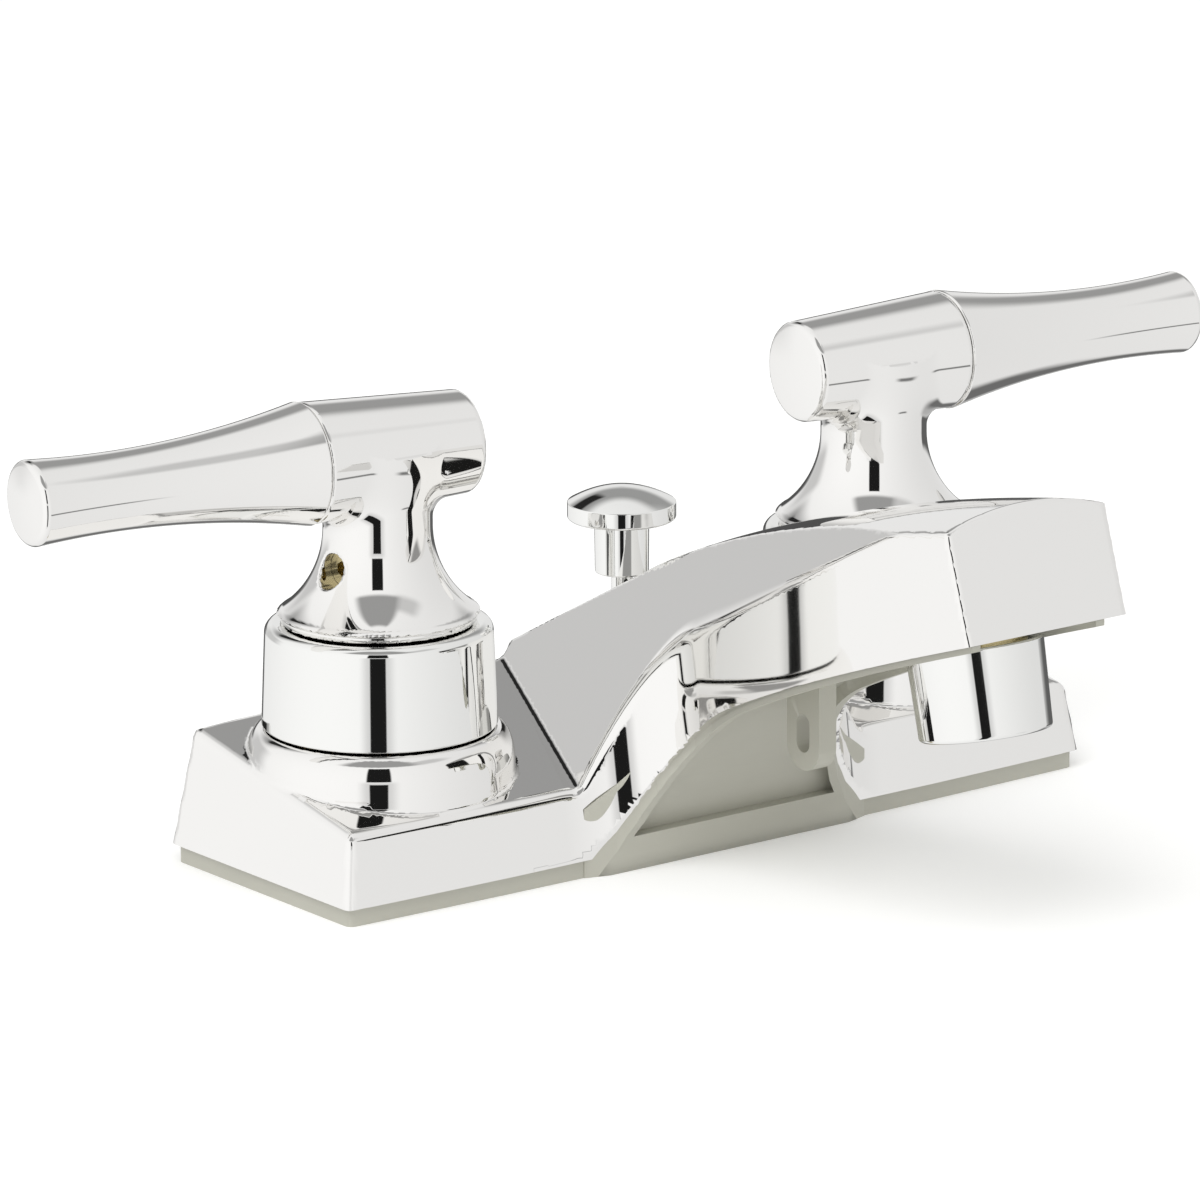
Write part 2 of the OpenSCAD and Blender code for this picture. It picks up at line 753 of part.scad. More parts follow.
module cartridge(side) color(white_plastic) {
    at_axis(side)
        difference() {
            translate([0, 0, seal_z])
                cylinder(r = cartridge_bore_r - push_fit, h = cartridge_top - seal_z, $fn = smooth);
            translate([0, 0, seal_z - over])
                cylinder(r = sleeve_inner_r, h = driver_z + driver_t + disc_gap - seal_z + over,
                    $fn = smooth);
            translate([0, 0, seal_z])
                cylinder(r = stem_r + stem_fit, h = cartridge_top, $fn = smooth);
            // Gallery round the turning disc
            translate([0, 0, seal_z + seal_t + disc_t])
                cylinder(r = sleeve_inner_r + 1, h = disc_t, $fn = smooth);
            // Outlet window to the cross tube
            translate([0, -cross_front, cross_h])
                rotate([0, -side * 90, 0])
                    cylinder(r = tube_r - tube_wall, h = 2 * valve_r, $fn = small);
            // Groove of the sealing ring
            translate([0, 0, ring_z - ring_groove / 2])
                difference() {
                    cylinder(r = cartridge_bore_r + over, h = ring_groove, $fn = smooth);
                    cylinder(r = cartridge_bore_r - 1.4, h = ring_groove, $fn = smooth);
                }
        }
}

module o_ring(side) color(black_rubber) {
    at_axis(side)
        translate([0, 0, ring_z])
            rotate_extrude($fn = smooth)
                translate([cartridge_bore_r - 0.7, 0]) circle(r = 0.6, $fn = 24);
}

hub_low = dome_h + seat_gap + bell_h + seat_gap;
bell_roof = bell_wall + 0.5;
stem_top = screw_h + 9;
stem_flat = 0.6;

module stem(side) color(brass) {
    at_axis(side)
        rotate([0, 0, lever_angle(side)])
            difference() {
                union() {
                    translate([0, 0, driver_z]) cylinder(r = disc_r - 0.2, h = driver_t, $fn = smooth);
                    translate([0, 0, driver_z]) cylinder(r = stem_r, h = stem_top - driver_z, $fn = smooth);
                }
                // Flat for the set screw
                rotate([0, 0, screw_angle(side)])
                    translate([stem_r - stem_flat, -stem_r - over, screw_h - 4])
                        cube([stem_r, 2 * (stem_r + over), stem_top - screw_h + 4 + over]);
            }
}

function screw_angle(side) = -side * screw_turn;

// Hexagon nut with chamfered corners, which clamps the cartridge and carries the bell
nut_r = 16;
nut_low = dome_h + 1.2;
nut_high = hub_low - 2 * seat_gap - bell_roof;
module bonnet_nut(side) color(brass) {
    chamfer = 1.6;
    at_axis(side)
        difference() {
            intersection() {
                translate([0, 0, nut_low]) cylinder(r = nut_r, h = nut_high - nut_low, $fn = 6);
                turned([
                    [0, nut_low - over], [nut_r, nut_low - over], [nut_r, nut_high - chamfer],
                    [nut_r - chamfer - over, nut_high + over], [0, nut_high + over]
                ]);
            }
            translate([0, 0, dome_h])
                cylinder(r = neck_thread_r + push_fit / 2, h = cartridge_top + push_fit - dome_h,
                    $fn = smooth);
            translate([0, 0, dome_h])
                cylinder(r = stem_r + 2, h = bell_h, $fn = smooth);
        }
}

// Drawn cup over the nut, with a rolled lower edge, a shoulder and a hole for the stem
module bell(side) color(chrome) {
    low = dome_h + seat_gap;
    high = low + bell_h;
    edge = 0.4;
    shoulder = 1.6;
    shoulder_w = 2.2;
    inner_round = 2;
    at_axis(side)
        turned(concat(
            [[bell_low_r - bell_wall, low]],
            arc([bell_low_r - edge, low + edge], edge, -90, 0, 2),
            [for (a = [0:18:90])
                [bell_high_r - shoulder_w * (1 - cos(a)), high - shoulder * (1 - sin(a))]],
            [[stem_r + 2, high], [stem_r + 2, high - bell_roof],
             [bell_high_r - bell_wall - inner_round, high - bell_roof],
             [bell_high_r - bell_wall, high - bell_roof - inner_round]]
        ));
}

// Radius of the hub's foot at a height above the flange: a hollow curve up to the neck
neck_curve_r = 17;
neck_z = 57;
function neck_at(z) =
    neck_r + neck_curve_r - sqrt(pow(neck_curve_r, 2) - pow(min(0, z - neck_z), 2));

// The cast hub: a trumpet foot on a flange, and a cross barrel that takes the lever's stud
module hub(side) color(chrome) {
    flange_t = 1.6;
    edge = 0.35;
    foot_z = hub_low + flange_t + edge;
    seam_cut = 0.4;
    end_dome = 0.6;
    end_round = 1.2;
    at_axis(side)
        rotate([0, 0, lever_angle(side)])
            difference() {
                union() {
                    turned(concat(
                        [[0, hub_low]],
                        arc([hub_flange_r - edge, hub_low + edge], edge, -90, 0, 2),
                        arc([hub_flange_r - edge, hub_low + flange_t - edge], edge, 0, 90, 2),
                        [for (i = [0:steps])
                            let (z = foot_z + (neck_z - foot_z) * pow(i / steps, 1.3)) [neck_at(z), z]],
                        [[neck_r, lever_h], [0, lever_h]]
                    ));
                    // Barrel with a softly domed inner end and a chamfer at the seam
                    translate([0, 0, lever_h])
                        rotate([0, 90, 0])
                            turned(concat(
                                [[0, -barrel_in], [barrel_in_r / 2, -barrel_in + end_dome / 3]],
                                arc([barrel_in_r - end_round, -barrel_in + end_dome + end_round],
                                    end_round, -90, 0),
                                [[barrel_out_r, barrel_out - seam_cut],
                                 [barrel_out_r - seam_cut, barrel_out], [0, barrel_out]]
                            ));
                }
                translate([0, 0, hub_low - over])
                    cylinder(r = stem_r + push_fit / 2, h = stem_top - hub_low + over + 0.5, $fn = smooth);
                rotate([0, 0, screw_angle(side)])
                    translate([0, 0, screw_h])
                        rotate([0, 90, 0])
                            cylinder(r = screw_hole_r, h = hub_flange_r + over, $fn = fine);
                translate([barrel_out - stud_l - 0.5, 0, lever_h])
                    rotate([0, 90, 0])
                        cylinder(r = stud_r + push_fit / 2, h = stud_l + 2 * over, $fn = fine);
            }
}

stud_r = 3;
stud_l = 8;
lever_gap = 0.1;
function lever_radius(s) =
    lever_waist_r + lever_flank_r - sqrt(pow(lever_flank_r, 2) - pow(s - lever_waist_at, 2));

// The lever: a stud in the barrel, a long hollow flank and a softly domed tip
module lever(side) color(chrome) {
    start = barrel_out + lever_gap;
    seam_cut = 0.4;
    tip_round = 1;
    tip_dome = 0.6;
    flank_l = lever_tip - tip_round - start - seam_cut;
    flank_steps = 14;
    at_axis(side)
        rotate([0, 0, lever_angle(side)])
            translate([0, 0, lever_h])
                rotate([0, 90, 0])
                    turned(concat(
                        [[0, start - stud_l], [stud_r, start - stud_l], [stud_r, start],
                         [lever_radius(start) - seam_cut, start]],
                        [for (i = [0:flank_steps])
                            let (s = start + seam_cut + flank_l * i / flank_steps) [lever_radius(s), s]],
                        arc([lever_radius(lever_tip) - tip_round, lever_tip - tip_round + 0.1],
                            tip_round, 22, 90),
                        [[stud_r, lever_tip + 0.8 * tip_dome], [0, lever_tip + tip_dome]]
                    ));
}

// Set screw with a hexagon socket, tightened on the stem's flat
module set_screw(side) color(brass) {
    screw_l = 4;
    socket_d = 2;
    socket_r = 1.3;
    at_axis(side)
        rotate([0, 0, lever_angle(side) + screw_angle(side)])
            translate([stem_r - stem_flat, 0, screw_h])
                rotate([0, 90, 0])
                    difference() {
                        cylinder(r = screw_hole_r - push_fit / 2, h = screw_l, $fn = fine);
                        translate([0, 0, screw_l - socket_d])
                            cylinder(r = socket_r, h = socket_d + over, $fn = 6);
                    }
}

washer_t = 1.6;
washer_r = 19;
deck_nut_t = 7;
deck_nut_r = 15;
module deck_washer(side) color(steel) {
    at_axis(side)
        translate([0, 0, -deck_t - washer_t])
            difference() {
                cylinder(r = washer_r, h = washer_t, $fn = smooth);
                translate([0, 0, -over])
                    cylinder(r = shank_r + seat_gap, h = washer_t + 2 * over, $fn = smooth);
            }
}

// Wing nut that clamps the washer against the deck from below
wing_reach = 22;
wing_t = 3;
wing_h = 5;
module deck_nut(side) color(brass) {
    at_axis(side)
        translate([0, 0, -deck_t - washer_t - deck_nut_t])
            difference() {
                union() {
                    cylinder(r = deck_nut_r, h = deck_nut_t, $fn = smooth);
                    for (turn = [45, 135])
                        rotate([0, 0, turn])
                            translate([-wing_reach, -wing_t / 2, 0]) cube([2 * wing_reach, wing_t, wing_h]);
                }
                translate([0, 0, -over])
                    cylinder(r = shank_r + push_fit / 2, h = deck_nut_t + 2 * over, $fn = smooth);
            }
}

// A pipe that starts upward at the origin: a straight run, a bend to +Y, and a second run.
// The bend is a little fuller than the runs, as a bent tube's is, and laps over their ends.
bend_swell = 0.1;
bend_lap = 1;
module bent_run(r, first, angle, bend_r, second) {
    cylinder(r = r, h = first + bend_lap, $fn = fine);
    translate([0, 0, first]) {
        translate([0, bend_r, 0])
            rotate([90, 0, -90])
                rotate_extrude(angle = angle, $fn = smooth)
                    translate([bend_r, 0]) circle(r = r + bend_swell, $fn = fine);
        translate([0, bend_r * (1 - cos(angle)), bend_r * sin(angle)])
            rotate([-angle, 0, 0])
                translate([0, 0, -bend_lap])
                    cylinder(r = r, h = second + bend_lap, $fn = fine);
    }
}

// The spout's tube rises from the cross tube, bends, and ends in the outlet nipple
nipple_r = 8.4;
nipple_bore_r = 5.6;
tube_start = [-cross_front, cross_h];
tube_corner = [-40, 40];
tube_end = [outlet_y + 10.5, tip_low_h + 1.5];
module spout_tube(r, extra) {
    a = tube_corner - tube_start;
    b = tube_end - tube_corner;
    lean_a = atan2(-a[0], a[1]);
    lean_b = atan2(-b[0], b[1]);
    bend_r = 30;
    trim = bend_r * tan((lean_b - lean_a) / 2);
    translate([0, tube_start[0], tube_start[1]])
        mirror([0, 1, 0])
            rotate([-lean_a, 0, 0])
                bent_run(r, norm(a) - trim, lean_b - lean_a, bend_r, norm(b) - trim + extra);
}

cross_end = axis_x - cartridge_bore_r - 0.8;
branch_r = tube_r - 0.3;
module waterway() color(copper) {
    difference() {
        union() {
            translate([-cross_end, -cross_front, cross_h])
                rotate([0, 90, 0]) cylinder(r = tube_r, h = 2 * cross_end, $fn = fine);
            spout_tube(branch_r, 0);
        }
        translate([-cross_end - over, -cross_front, cross_h])
            rotate([0, 90, 0])
                cylinder(r = tube_r - tube_wall, h = 2 * (cross_end + over), $fn = fine);
        spout_tube(branch_r - tube_wall, over);
    }
}

nipple_low = 7.6;
nipple_top = 26;
module outlet_nipple() color(brass) {
    difference() {
        union() {
            at_outlet() {
                translate([0, 0, nipple_low])
                    cylinder(r = nipple_r, h = nipple_top - nipple_low, $fn = smooth);
                translate([0, 0, boss_top + push_fit])
                    cylinder(r = collar_r, h = collar_t, $fn = smooth);
            }
        }
        at_outlet()
            translate([0, 0, nipple_low - over])
                cylinder(r = nipple_bore_r, h = nipple_top - nipple_low - 1.5 + over, $fn = smooth);
        spout_tube(branch_r + push_fit / 2, 3);
    }
}

seal_ring_t = 1.5;
module aerator_washer() color(black_rubber) {
    at_outlet()
        translate([0, 0, nipple_low - seal_ring_t - push_fit])
            difference() {
                cylinder(r = nipple_r - push_fit, h = seal_ring_t, $fn = smooth);
                translate([0, 0, -over])
                    cylinder(r = nipple_bore_r, h = seal_ring_t + 2 * over, $fn = small);
            }
}

// Plate with two rings of holes that mixes air into the stream
insert_low = 1;
insert_t = nipple_low - seal_ring_t - 2 * push_fit - insert_low;
module aerator_insert() color(white_plastic) {
    ring_holes = 12;
    rings = [2.6, 5.2];
    at_outlet()
        translate([0, 0, insert_low])
            difference() {
                cylinder(r = nipple_r - push_fit, h = insert_t, $fn = smooth);
                for (ring = rings)
                    for (i = [0:ring_holes - 1])
                        rotate([0, 0, i * 360 / ring_holes])
                            translate([ring, 0, -over])
                                cylinder(r = ring / 7, h = insert_t + 2 * over, $fn = 24);
            }
}

module aerator_shell() color(chrome) {
    lip_r = 7.6;
    at_outlet()
        turned([
            [lip_r, 0.2], [aerator_r - 1.2, 0], [aerator_r - 0.4, 0.3], [aerator_r, 1],
            [aerator_r + shell_flare, shell_l - 0.6], [aerator_r - 0.2, shell_l],
            [nipple_r + push_fit, shell_l], [nipple_r + push_fit, insert_low - push_fit],
            [lip_r, insert_low - push_fit]
        ]);
}

guide_r = 3.4;
guide_top = 30;
module rod_guide() color(white_plastic) {
    translate([0, rod_back, rim_h])
        difference() {
            cylinder(r = guide_r, h = guide_top - rim_h, $fn = fine);
            translate([0, 0, -over])
                cylinder(r = rod_r + rod_fit, h = guide_top, $fn = fine);
        }
}

rod_in_knob = 6;
module lift_rod() color(chrome) {
    translate([0, rod_back, -rod_depth])
        cylinder(r = rod_r, h = rod_depth + knob_low_h + rod_in_knob, $fn = fine);
}

module lift_knob() color(chrome) {
    band = 2.8;
    dome = 2.6;
    cap_low = knob_low_h + knob_stem_l;
    translate([0, rod_back, 0])
        difference() {
            turned(concat(
                [[0, knob_low_h], [knob_stem_r - 0.5, knob_low_h], [knob_stem_r - 0.2, knob_low_h + 0.4],
                 [knob_stem_r, cap_low], [knob_r - 0.5, cap_low], [knob_r, cap_low + 0.5],
                 [knob_r, cap_low + band - 0.4]],
                [for (i = [0:6]) let (r = (knob_r - 0.4) * (1 - i / 6))
                    [r, cap_low + band + dome * (1 - pow(r / knob_r, 2))]]
            ));
            translate([0, 0, knob_low_h - over])
                cylinder(r = rod_r + push_fit / 2, h = over + rod_in_knob + 2 * push_fit, $fn = fine);
        }
}

body_cover();
underbody();
cover_screws();
valve_body(-1);  // left_valve_body
valve_body(1);  // right_valve_body
seat_seal(-1);  // left_seat_seal
seat_seal(1);  // right_seat_seal
fixed_disc(-1);  // left_fixed_disc
fixed_disc(1);  // right_fixed_disc
turning_disc(-1);  // left_turning_disc
turning_disc(1);  // right_turning_disc
cartridge(-1);  // left_cartridge
cartridge(1);  // right_cartridge
o_ring(-1);  // left_o_ring
o_ring(1);  // right_o_ring
stem(-1);  // left_stem
stem(1);  // right_stem
bonnet_nut(-1);  // left_bonnet_nut
bonnet_nut(1);  // right_bonnet_nut
bell(-1);  // left_bell
bell(1);  // right_bell
hub(-1);  // left_hub
hub(1);  // right_hub
lever(-1);  // left_lever
lever(1);  // right_lever
set_screw(-1);  // left_set_screw
set_screw(1);  // right_set_screw
deck_washer(-1);  // left_deck_washer
deck_washer(1);  // right_deck_washer
deck_nut(-1);  // left_deck_nut
deck_nut(1);  // right_deck_nut
waterway();
outlet_nipple();
aerator_washer();
aerator_insert();
aerator_shell();
lift_rod();
lift_knob();
rod_guide();
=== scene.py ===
# %% [markdown]
# # A centerset bathroom faucet in chrome
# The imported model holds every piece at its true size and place. This lesson dresses it:
# plated shells get meshes fine enough for mirror reflections, and each finish is procedural.

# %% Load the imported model
import json
import math

import bmesh
import bpy
import numpy as np
from mathutils import Matrix, Vector


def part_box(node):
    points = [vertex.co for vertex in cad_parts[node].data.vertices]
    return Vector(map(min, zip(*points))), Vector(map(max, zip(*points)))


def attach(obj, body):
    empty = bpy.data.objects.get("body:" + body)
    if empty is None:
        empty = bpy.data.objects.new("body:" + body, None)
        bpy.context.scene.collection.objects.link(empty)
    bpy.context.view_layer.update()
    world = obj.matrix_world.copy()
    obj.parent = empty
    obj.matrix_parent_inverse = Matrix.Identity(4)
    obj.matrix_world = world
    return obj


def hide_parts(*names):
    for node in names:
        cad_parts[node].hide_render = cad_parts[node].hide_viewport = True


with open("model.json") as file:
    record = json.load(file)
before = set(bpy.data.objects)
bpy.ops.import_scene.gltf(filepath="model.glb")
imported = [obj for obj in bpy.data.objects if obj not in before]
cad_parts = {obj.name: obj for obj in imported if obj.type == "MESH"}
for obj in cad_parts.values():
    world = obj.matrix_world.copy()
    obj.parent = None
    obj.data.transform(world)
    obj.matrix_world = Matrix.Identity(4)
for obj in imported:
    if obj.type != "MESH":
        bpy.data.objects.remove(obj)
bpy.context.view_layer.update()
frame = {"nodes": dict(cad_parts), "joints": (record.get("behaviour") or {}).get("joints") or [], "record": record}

MM = 0.001
nodes = frame["nodes"]

# %% [markdown]
# ## Where the camera stood
# The photograph looks down a little on the faucet from the hot side. Its long edges gave the
# direction, and the 4 inch spacing of the handles gave the distance and the lens.

# %% Create the camera
PHOTO_PIXELS = 1200
SENSOR_MM = 36.0
CAMERA_AZIMUTH = -37.28
CAMERA_ELEVATION = 14.97
CAMERA_ROLL = -0.30
CAMERA_DISTANCE = 1522.0 * MM
CAMERA_FOCAL_PIXELS = 9346.9
CAMERA_TARGET = Vector((-5.36, 1.31, 36.75)) * MM


def make_camera():
    azimuth, elevation, roll = map(math.radians, (CAMERA_AZIMUTH, CAMERA_ELEVATION, CAMERA_ROLL))
    back = Vector((math.sin(azimuth) * math.cos(elevation),
                   -math.cos(azimuth) * math.cos(elevation), math.sin(elevation)))
    right = Vector((math.cos(azimuth), math.sin(azimuth), 0))
    up = back.cross(right)
    right, up = (math.cos(roll) * right + math.sin(roll) * up,
                 math.cos(roll) * up - math.sin(roll) * right)
    camera = bpy.data.objects.new("camera", bpy.data.cameras.new("camera"))
    camera.matrix_world = (Matrix.Translation(CAMERA_TARGET + CAMERA_DISTANCE * back)
                           @ Matrix((right, up, back)).transposed().to_4x4())
    camera.data.sensor_width = SENSOR_MM
    camera.data.lens = CAMERA_FOCAL_PIXELS * SENSOR_MM / PHOTO_PIXELS
    camera.data.clip_end = 20
    bpy.context.scene.collection.objects.link(camera)
    bpy.context.scene.camera = camera
    return camera


camera = make_camera()
print("lens in mm:", round(camera.data.lens, 1))

# %% [markdown]
# ## Helpers for materials
# One function turns sRGB hex colours to linear, and one adds a node with its settings and links.

# %% Colour and node helpers
def linear(hex_colour):
    """sRGB hex, such as "A3A298", to linear red, green, blue and alpha"""
    values = [int(hex_colour[i:i + 2], 16) / 255 for i in (0, 2, 4)]
    return [v / 12.92 if v <= 0.04045 else ((v + 0.055) / 1.055) ** 2.4 for v in values] + [1.0]


def add(tree, kind, settings=None, **sockets):
    """A node with its settings, and each input socket set to a value or linked to an output"""
    node = tree.nodes.new(kind)
    for name, value in (settings or {}).items():
        setattr(node, name, value)
    for name, value in sockets.items():
        socket = node.inputs[int(name[1:])] if name[0] == "i" and name[1:].isdigit() \
            else node.inputs[name.replace("_", " ")]
        if isinstance(value, bpy.types.NodeSocket):
            tree.links.new(value, socket)
        else:
            socket.default_value = value
    return node


def new_material(name, base_hex, metallic, roughness):
    """A Principled material and its node tree, with the values that are the same all over"""
    material = bpy.data.materials.new(name)
    material.use_nodes = True
    tree = material.node_tree
    shader = tree.nodes["Principled BSDF"]
    shader.inputs["Base Color"].default_value = linear(base_hex)
    shader.inputs["Metallic"].default_value = metallic
    shader.inputs["Roughness"].default_value = roughness
    return material, tree, shader


def noise(tree, size_mm, detail=2.0):
    """Noise in object space whose grains are about size_mm across"""
    place = add(tree, "ShaderNodeTexCoord")
    return add(tree, "ShaderNodeTexNoise", Vector=place.outputs["Object"],
               Scale=1 / (size_mm * MM), Detail=detail)


# %% [markdown]
# ## Chrome plate
# Bright chrome is a mirror: nearly all of its look is what it reflects. The plate follows the
# moulding or casting under it, so it has a very shallow waviness a few millimetres long,
# and a faint haze that varies from place to place where fingers and cloths have been.

# %% Make the chrome finishes
def chrome(name, base_hex, wave_mm, wave_height):
    material, tree, shader = new_material(name, base_hex, 1.0, 0.03)
    haze = noise(tree, 14.0)
    spread = add(tree, "ShaderNodeMapRange", Value=haze.outputs["Fac"], To_Min=0.018, To_Max=0.045)
    tree.links.new(spread.outputs["Result"], shader.inputs["Roughness"])
    wave = noise(tree, wave_mm, 1.0)
    bump = add(tree, "ShaderNodeBump", Height=wave.outputs["Fac"], Strength=0.06,
               Distance=wave_height * MM)
    tree.links.new(bump.outputs["Normal"], shader.inputs["Normal"])
    return material


plated_plastic = chrome("chrome_plated_abs", "F4F3F1", 9.0, 0.10)
plated_zinc = chrome("chrome_plated_zinc", "F4F3F1", 7.0, 0.06)
plated_brass = chrome("chrome_plated_brass", "F3F3F1", 6.0, 0.05)
print("chrome finishes:", plated_plastic.name, plated_zinc.name, plated_brass.name)

# %% [markdown]
# ## Grey moulding, white and black plastics, brass, copper, ceramic and zinc
# The underbody is grey ABS from a sparked mould: a fine matt texture and a soft, wide highlight.

# %% Make the other finishes
def moulded(name, base_hex, roughness, grain_mm, grain_height):
    """Plastic or rubber with the texture of its mould and a faint mottling of colour"""
    material, tree, shader = new_material(name, base_hex, 0.0, roughness)
    mottle = noise(tree, 22.0, 3.0)
    low, high = ([c * k for c in linear(base_hex)[:3]] + [1.0] for k in (0.94, 1.05))
    tint = add(tree, "ShaderNodeMix", {"data_type": "RGBA"}, i0=mottle.outputs["Fac"], i6=low, i7=high)
    tree.links.new(tint.outputs[2], shader.inputs["Base Color"])
    grain = noise(tree, grain_mm, 3.0)
    bump = add(tree, "ShaderNodeBump", Height=grain.outputs["Fac"], Strength=0.25,
               Distance=grain_height * MM)
    tree.links.new(bump.outputs["Normal"], shader.inputs["Normal"])
    return material


def bare_metal(name, base_hex, roughness, streak_mm):
    """Turned or drawn metal: streaks across the axis vary its roughness and colour"""
    material, tree, shader = new_material(name, base_hex, 1.0, roughness)
    streak = noise(tree, streak_mm, 4.0)
    spread = add(tree, "ShaderNodeMapRange", Value=streak.outputs["Fac"],
                 To_Min=roughness * 0.7, To_Max=roughness * 1.4)
    tree.links.new(spread.outputs["Result"], shader.inputs["Roughness"])
    low, high = ([c * k for c in linear(base_hex)[:3]] + [1.0] for k in (0.82, 1.08))
    tint = add(tree, "ShaderNodeMix", {"data_type": "RGBA"}, i0=streak.outputs["Fac"], i6=low, i7=high)
    tree.links.new(tint.outputs[2], shader.inputs["Base Color"])
    return material


grey_abs = moulded("grey_moulded_abs", "BEBDB2", 0.42, 0.6, 0.02)
white_acetal = moulded("white_moulded_acetal", "E4E4DE", 0.35, 0.8, 0.01)
black_rubber = moulded("black_moulded_rubber", "1E1E1E", 0.6, 0.5, 0.02)
alumina = moulded("lapped_alumina", "EEECE6", 0.15, 1.0, 0.002)
turned_brass = bare_metal("turned_brass", "C6B88C", 0.25, 2.5)
drawn_copper = bare_metal("drawn_copper", "C9805C", 0.28, 1.5)
zinc_steel = bare_metal("zinc_plated_steel", "B9BCBE", 0.35, 1.2)
FINISHES = {
    "chrome_cover": plated_plastic, "chrome_trim": plated_brass, "chrome_handle": plated_zinc,
    "grey_moulding": grey_abs, "white_plastic": white_acetal, "black_rubber": black_rubber,
    "ceramic": alumina, "brass": turned_brass, "copper": drawn_copper, "zinc_steel": zinc_steel,
}

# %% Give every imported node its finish
slot_of = {part["node"]: part["material_slot"] for part in frame["record"]["subparts"]}
for name, part in nodes.items():
    part.data.materials.clear()
    part.data.materials.append(FINISHES[slot_of[name]])
print("nodes with a finish:", len(slot_of))

# %% [markdown]
# ## A skin from a formula
# The cover and the hubs are solids whose walls run into each other over fillets. Each is written
# as a field: a number that is negative inside, zero on the skin and positive outside, in
# millimetres. Dual contouring turns a field into quads and keeps its creases sharp: every cell
# that the skin crosses gets one vertex, put where the planes found on the cell's edges meet.

# %% Fields: rounding and joining
def rounded_both(a, b, radius):
    """Inside both a and b, with the edge between them rounded"""
    return (np.minimum(np.maximum(a, b), -radius)
            + np.hypot(np.maximum(a + radius, 0), np.maximum(b + radius, 0)))


def filleted_either(a, b, radius):
    """Inside a or b, with a hollow fillet between them"""
    return (np.maximum(np.minimum(a, b), radius)
            - np.hypot(np.maximum(radius - a, 0), np.maximum(radius - b, 0)))


def gradient(field, p):
    """Unit slope of a field at points p, by central differences"""
    reach = 0.01
    slope = np.stack([field(*(p + reach * e).T) - field(*(p - reach * e).T) for e in np.eye(3)], -1)
    return slope / np.maximum(np.linalg.norm(slope, axis=-1, keepdims=True), 1e-12)


# %% Dual contouring
def contour(field, low, high, step):
    """Vertices and quads of the zero skin of a field within a box"""
    axes = [np.arange(a - step, b + 1.5 * step, step) for a, b in zip(low, high)]
    inside = field(axes[0][:, None, None], axes[1][None, :, None], axes[2][None, None, :])
    inside = np.broadcast_to(inside, [len(a) for a in axes]) < 0
    cells = np.array(inside.shape) - 1
    crossings, slopes, owners, flips = [], [], [], []
    for axis in range(3):
        b, c = (axis + 1) % 3, (axis + 2) % 3
        first = np.take(inside, range(inside.shape[axis] - 1), axis)
        second = np.take(inside, range(1, inside.shape[axis]), axis)
        index = np.argwhere(first != second)
        index = index[np.all((index >= 1) | (np.arange(3) == axis), axis=1)]
        start = np.stack([axes[k][index[:, k]] for k in range(3)], -1)
        along = np.eye(3)[axis] * step
        near, far = np.zeros(len(index)), np.ones(len(index))
        entering = first[tuple(index.T)]
        for _ in range(14):
            middle = (near + far) / 2
            same = (field(*(start + middle[:, None] * along).T) < 0) == entering
            near, far = np.where(same, middle, near), np.where(same, far, middle)
        point = start + near[:, None] * along
        ring = []
        for shift_b, shift_c in ((-1, -1), (0, -1), (0, 0), (-1, 0)):
            cell = index.copy()
            cell[:, b] += shift_b
            cell[:, c] += shift_c
            ring.append(np.ravel_multi_index(tuple(cell.T), tuple(cells)))
        crossings.append(point)
        slopes.append(gradient(field, point))
        owners.append(np.stack(ring, -1))
        flips.append(~entering)
    point, slope = np.concatenate(crossings), np.concatenate(slopes)
    owner, flip = np.concatenate(owners), np.concatenate(flips)
    cell_ids, flat = np.unique(owner, return_inverse=True)
    flat = flat.reshape(owner.shape)
    total = len(cell_ids)

    def gather(values):
        return sum(np.bincount(flat[:, k], values, total) for k in range(4))

    count = gather(np.ones(len(point)))
    middle = np.stack([gather(point[:, k]) for k in range(3)], -1) / count[:, None]
    square = np.stack([np.stack([gather(slope[:, j] * slope[:, k]) for k in range(3)], -1)
                       for j in range(3)], -2)
    offset = np.einsum("ij,ij->i", slope, point)
    right = np.stack([gather(slope[:, k] * offset) for k in range(3)], -1)
    right = right - np.einsum("ijk,ik->ij", square, middle)
    sizes, directions = np.linalg.eigh(square)
    kept = sizes > 0.08 * sizes[:, 2:]
    inverse = np.where(kept, 1 / np.where(kept, sizes, 1), 0)
    move = np.einsum("ijk,ik,ilk,il->ij", directions, inverse, directions, right)
    corner = np.stack(np.unravel_index(cell_ids, tuple(cells)), -1)
    floor = np.stack([axes[k][corner[:, k]] for k in range(3)], -1)
    vertices = np.clip(middle + move, floor, floor + step)
    quads = np.where(flip[:, None], flat[:, ::-1], flat)
    return vertices, quads


# %% Turn a contour into a piece with true normals
SMOOTH_LIMIT = math.cos(math.radians(35))


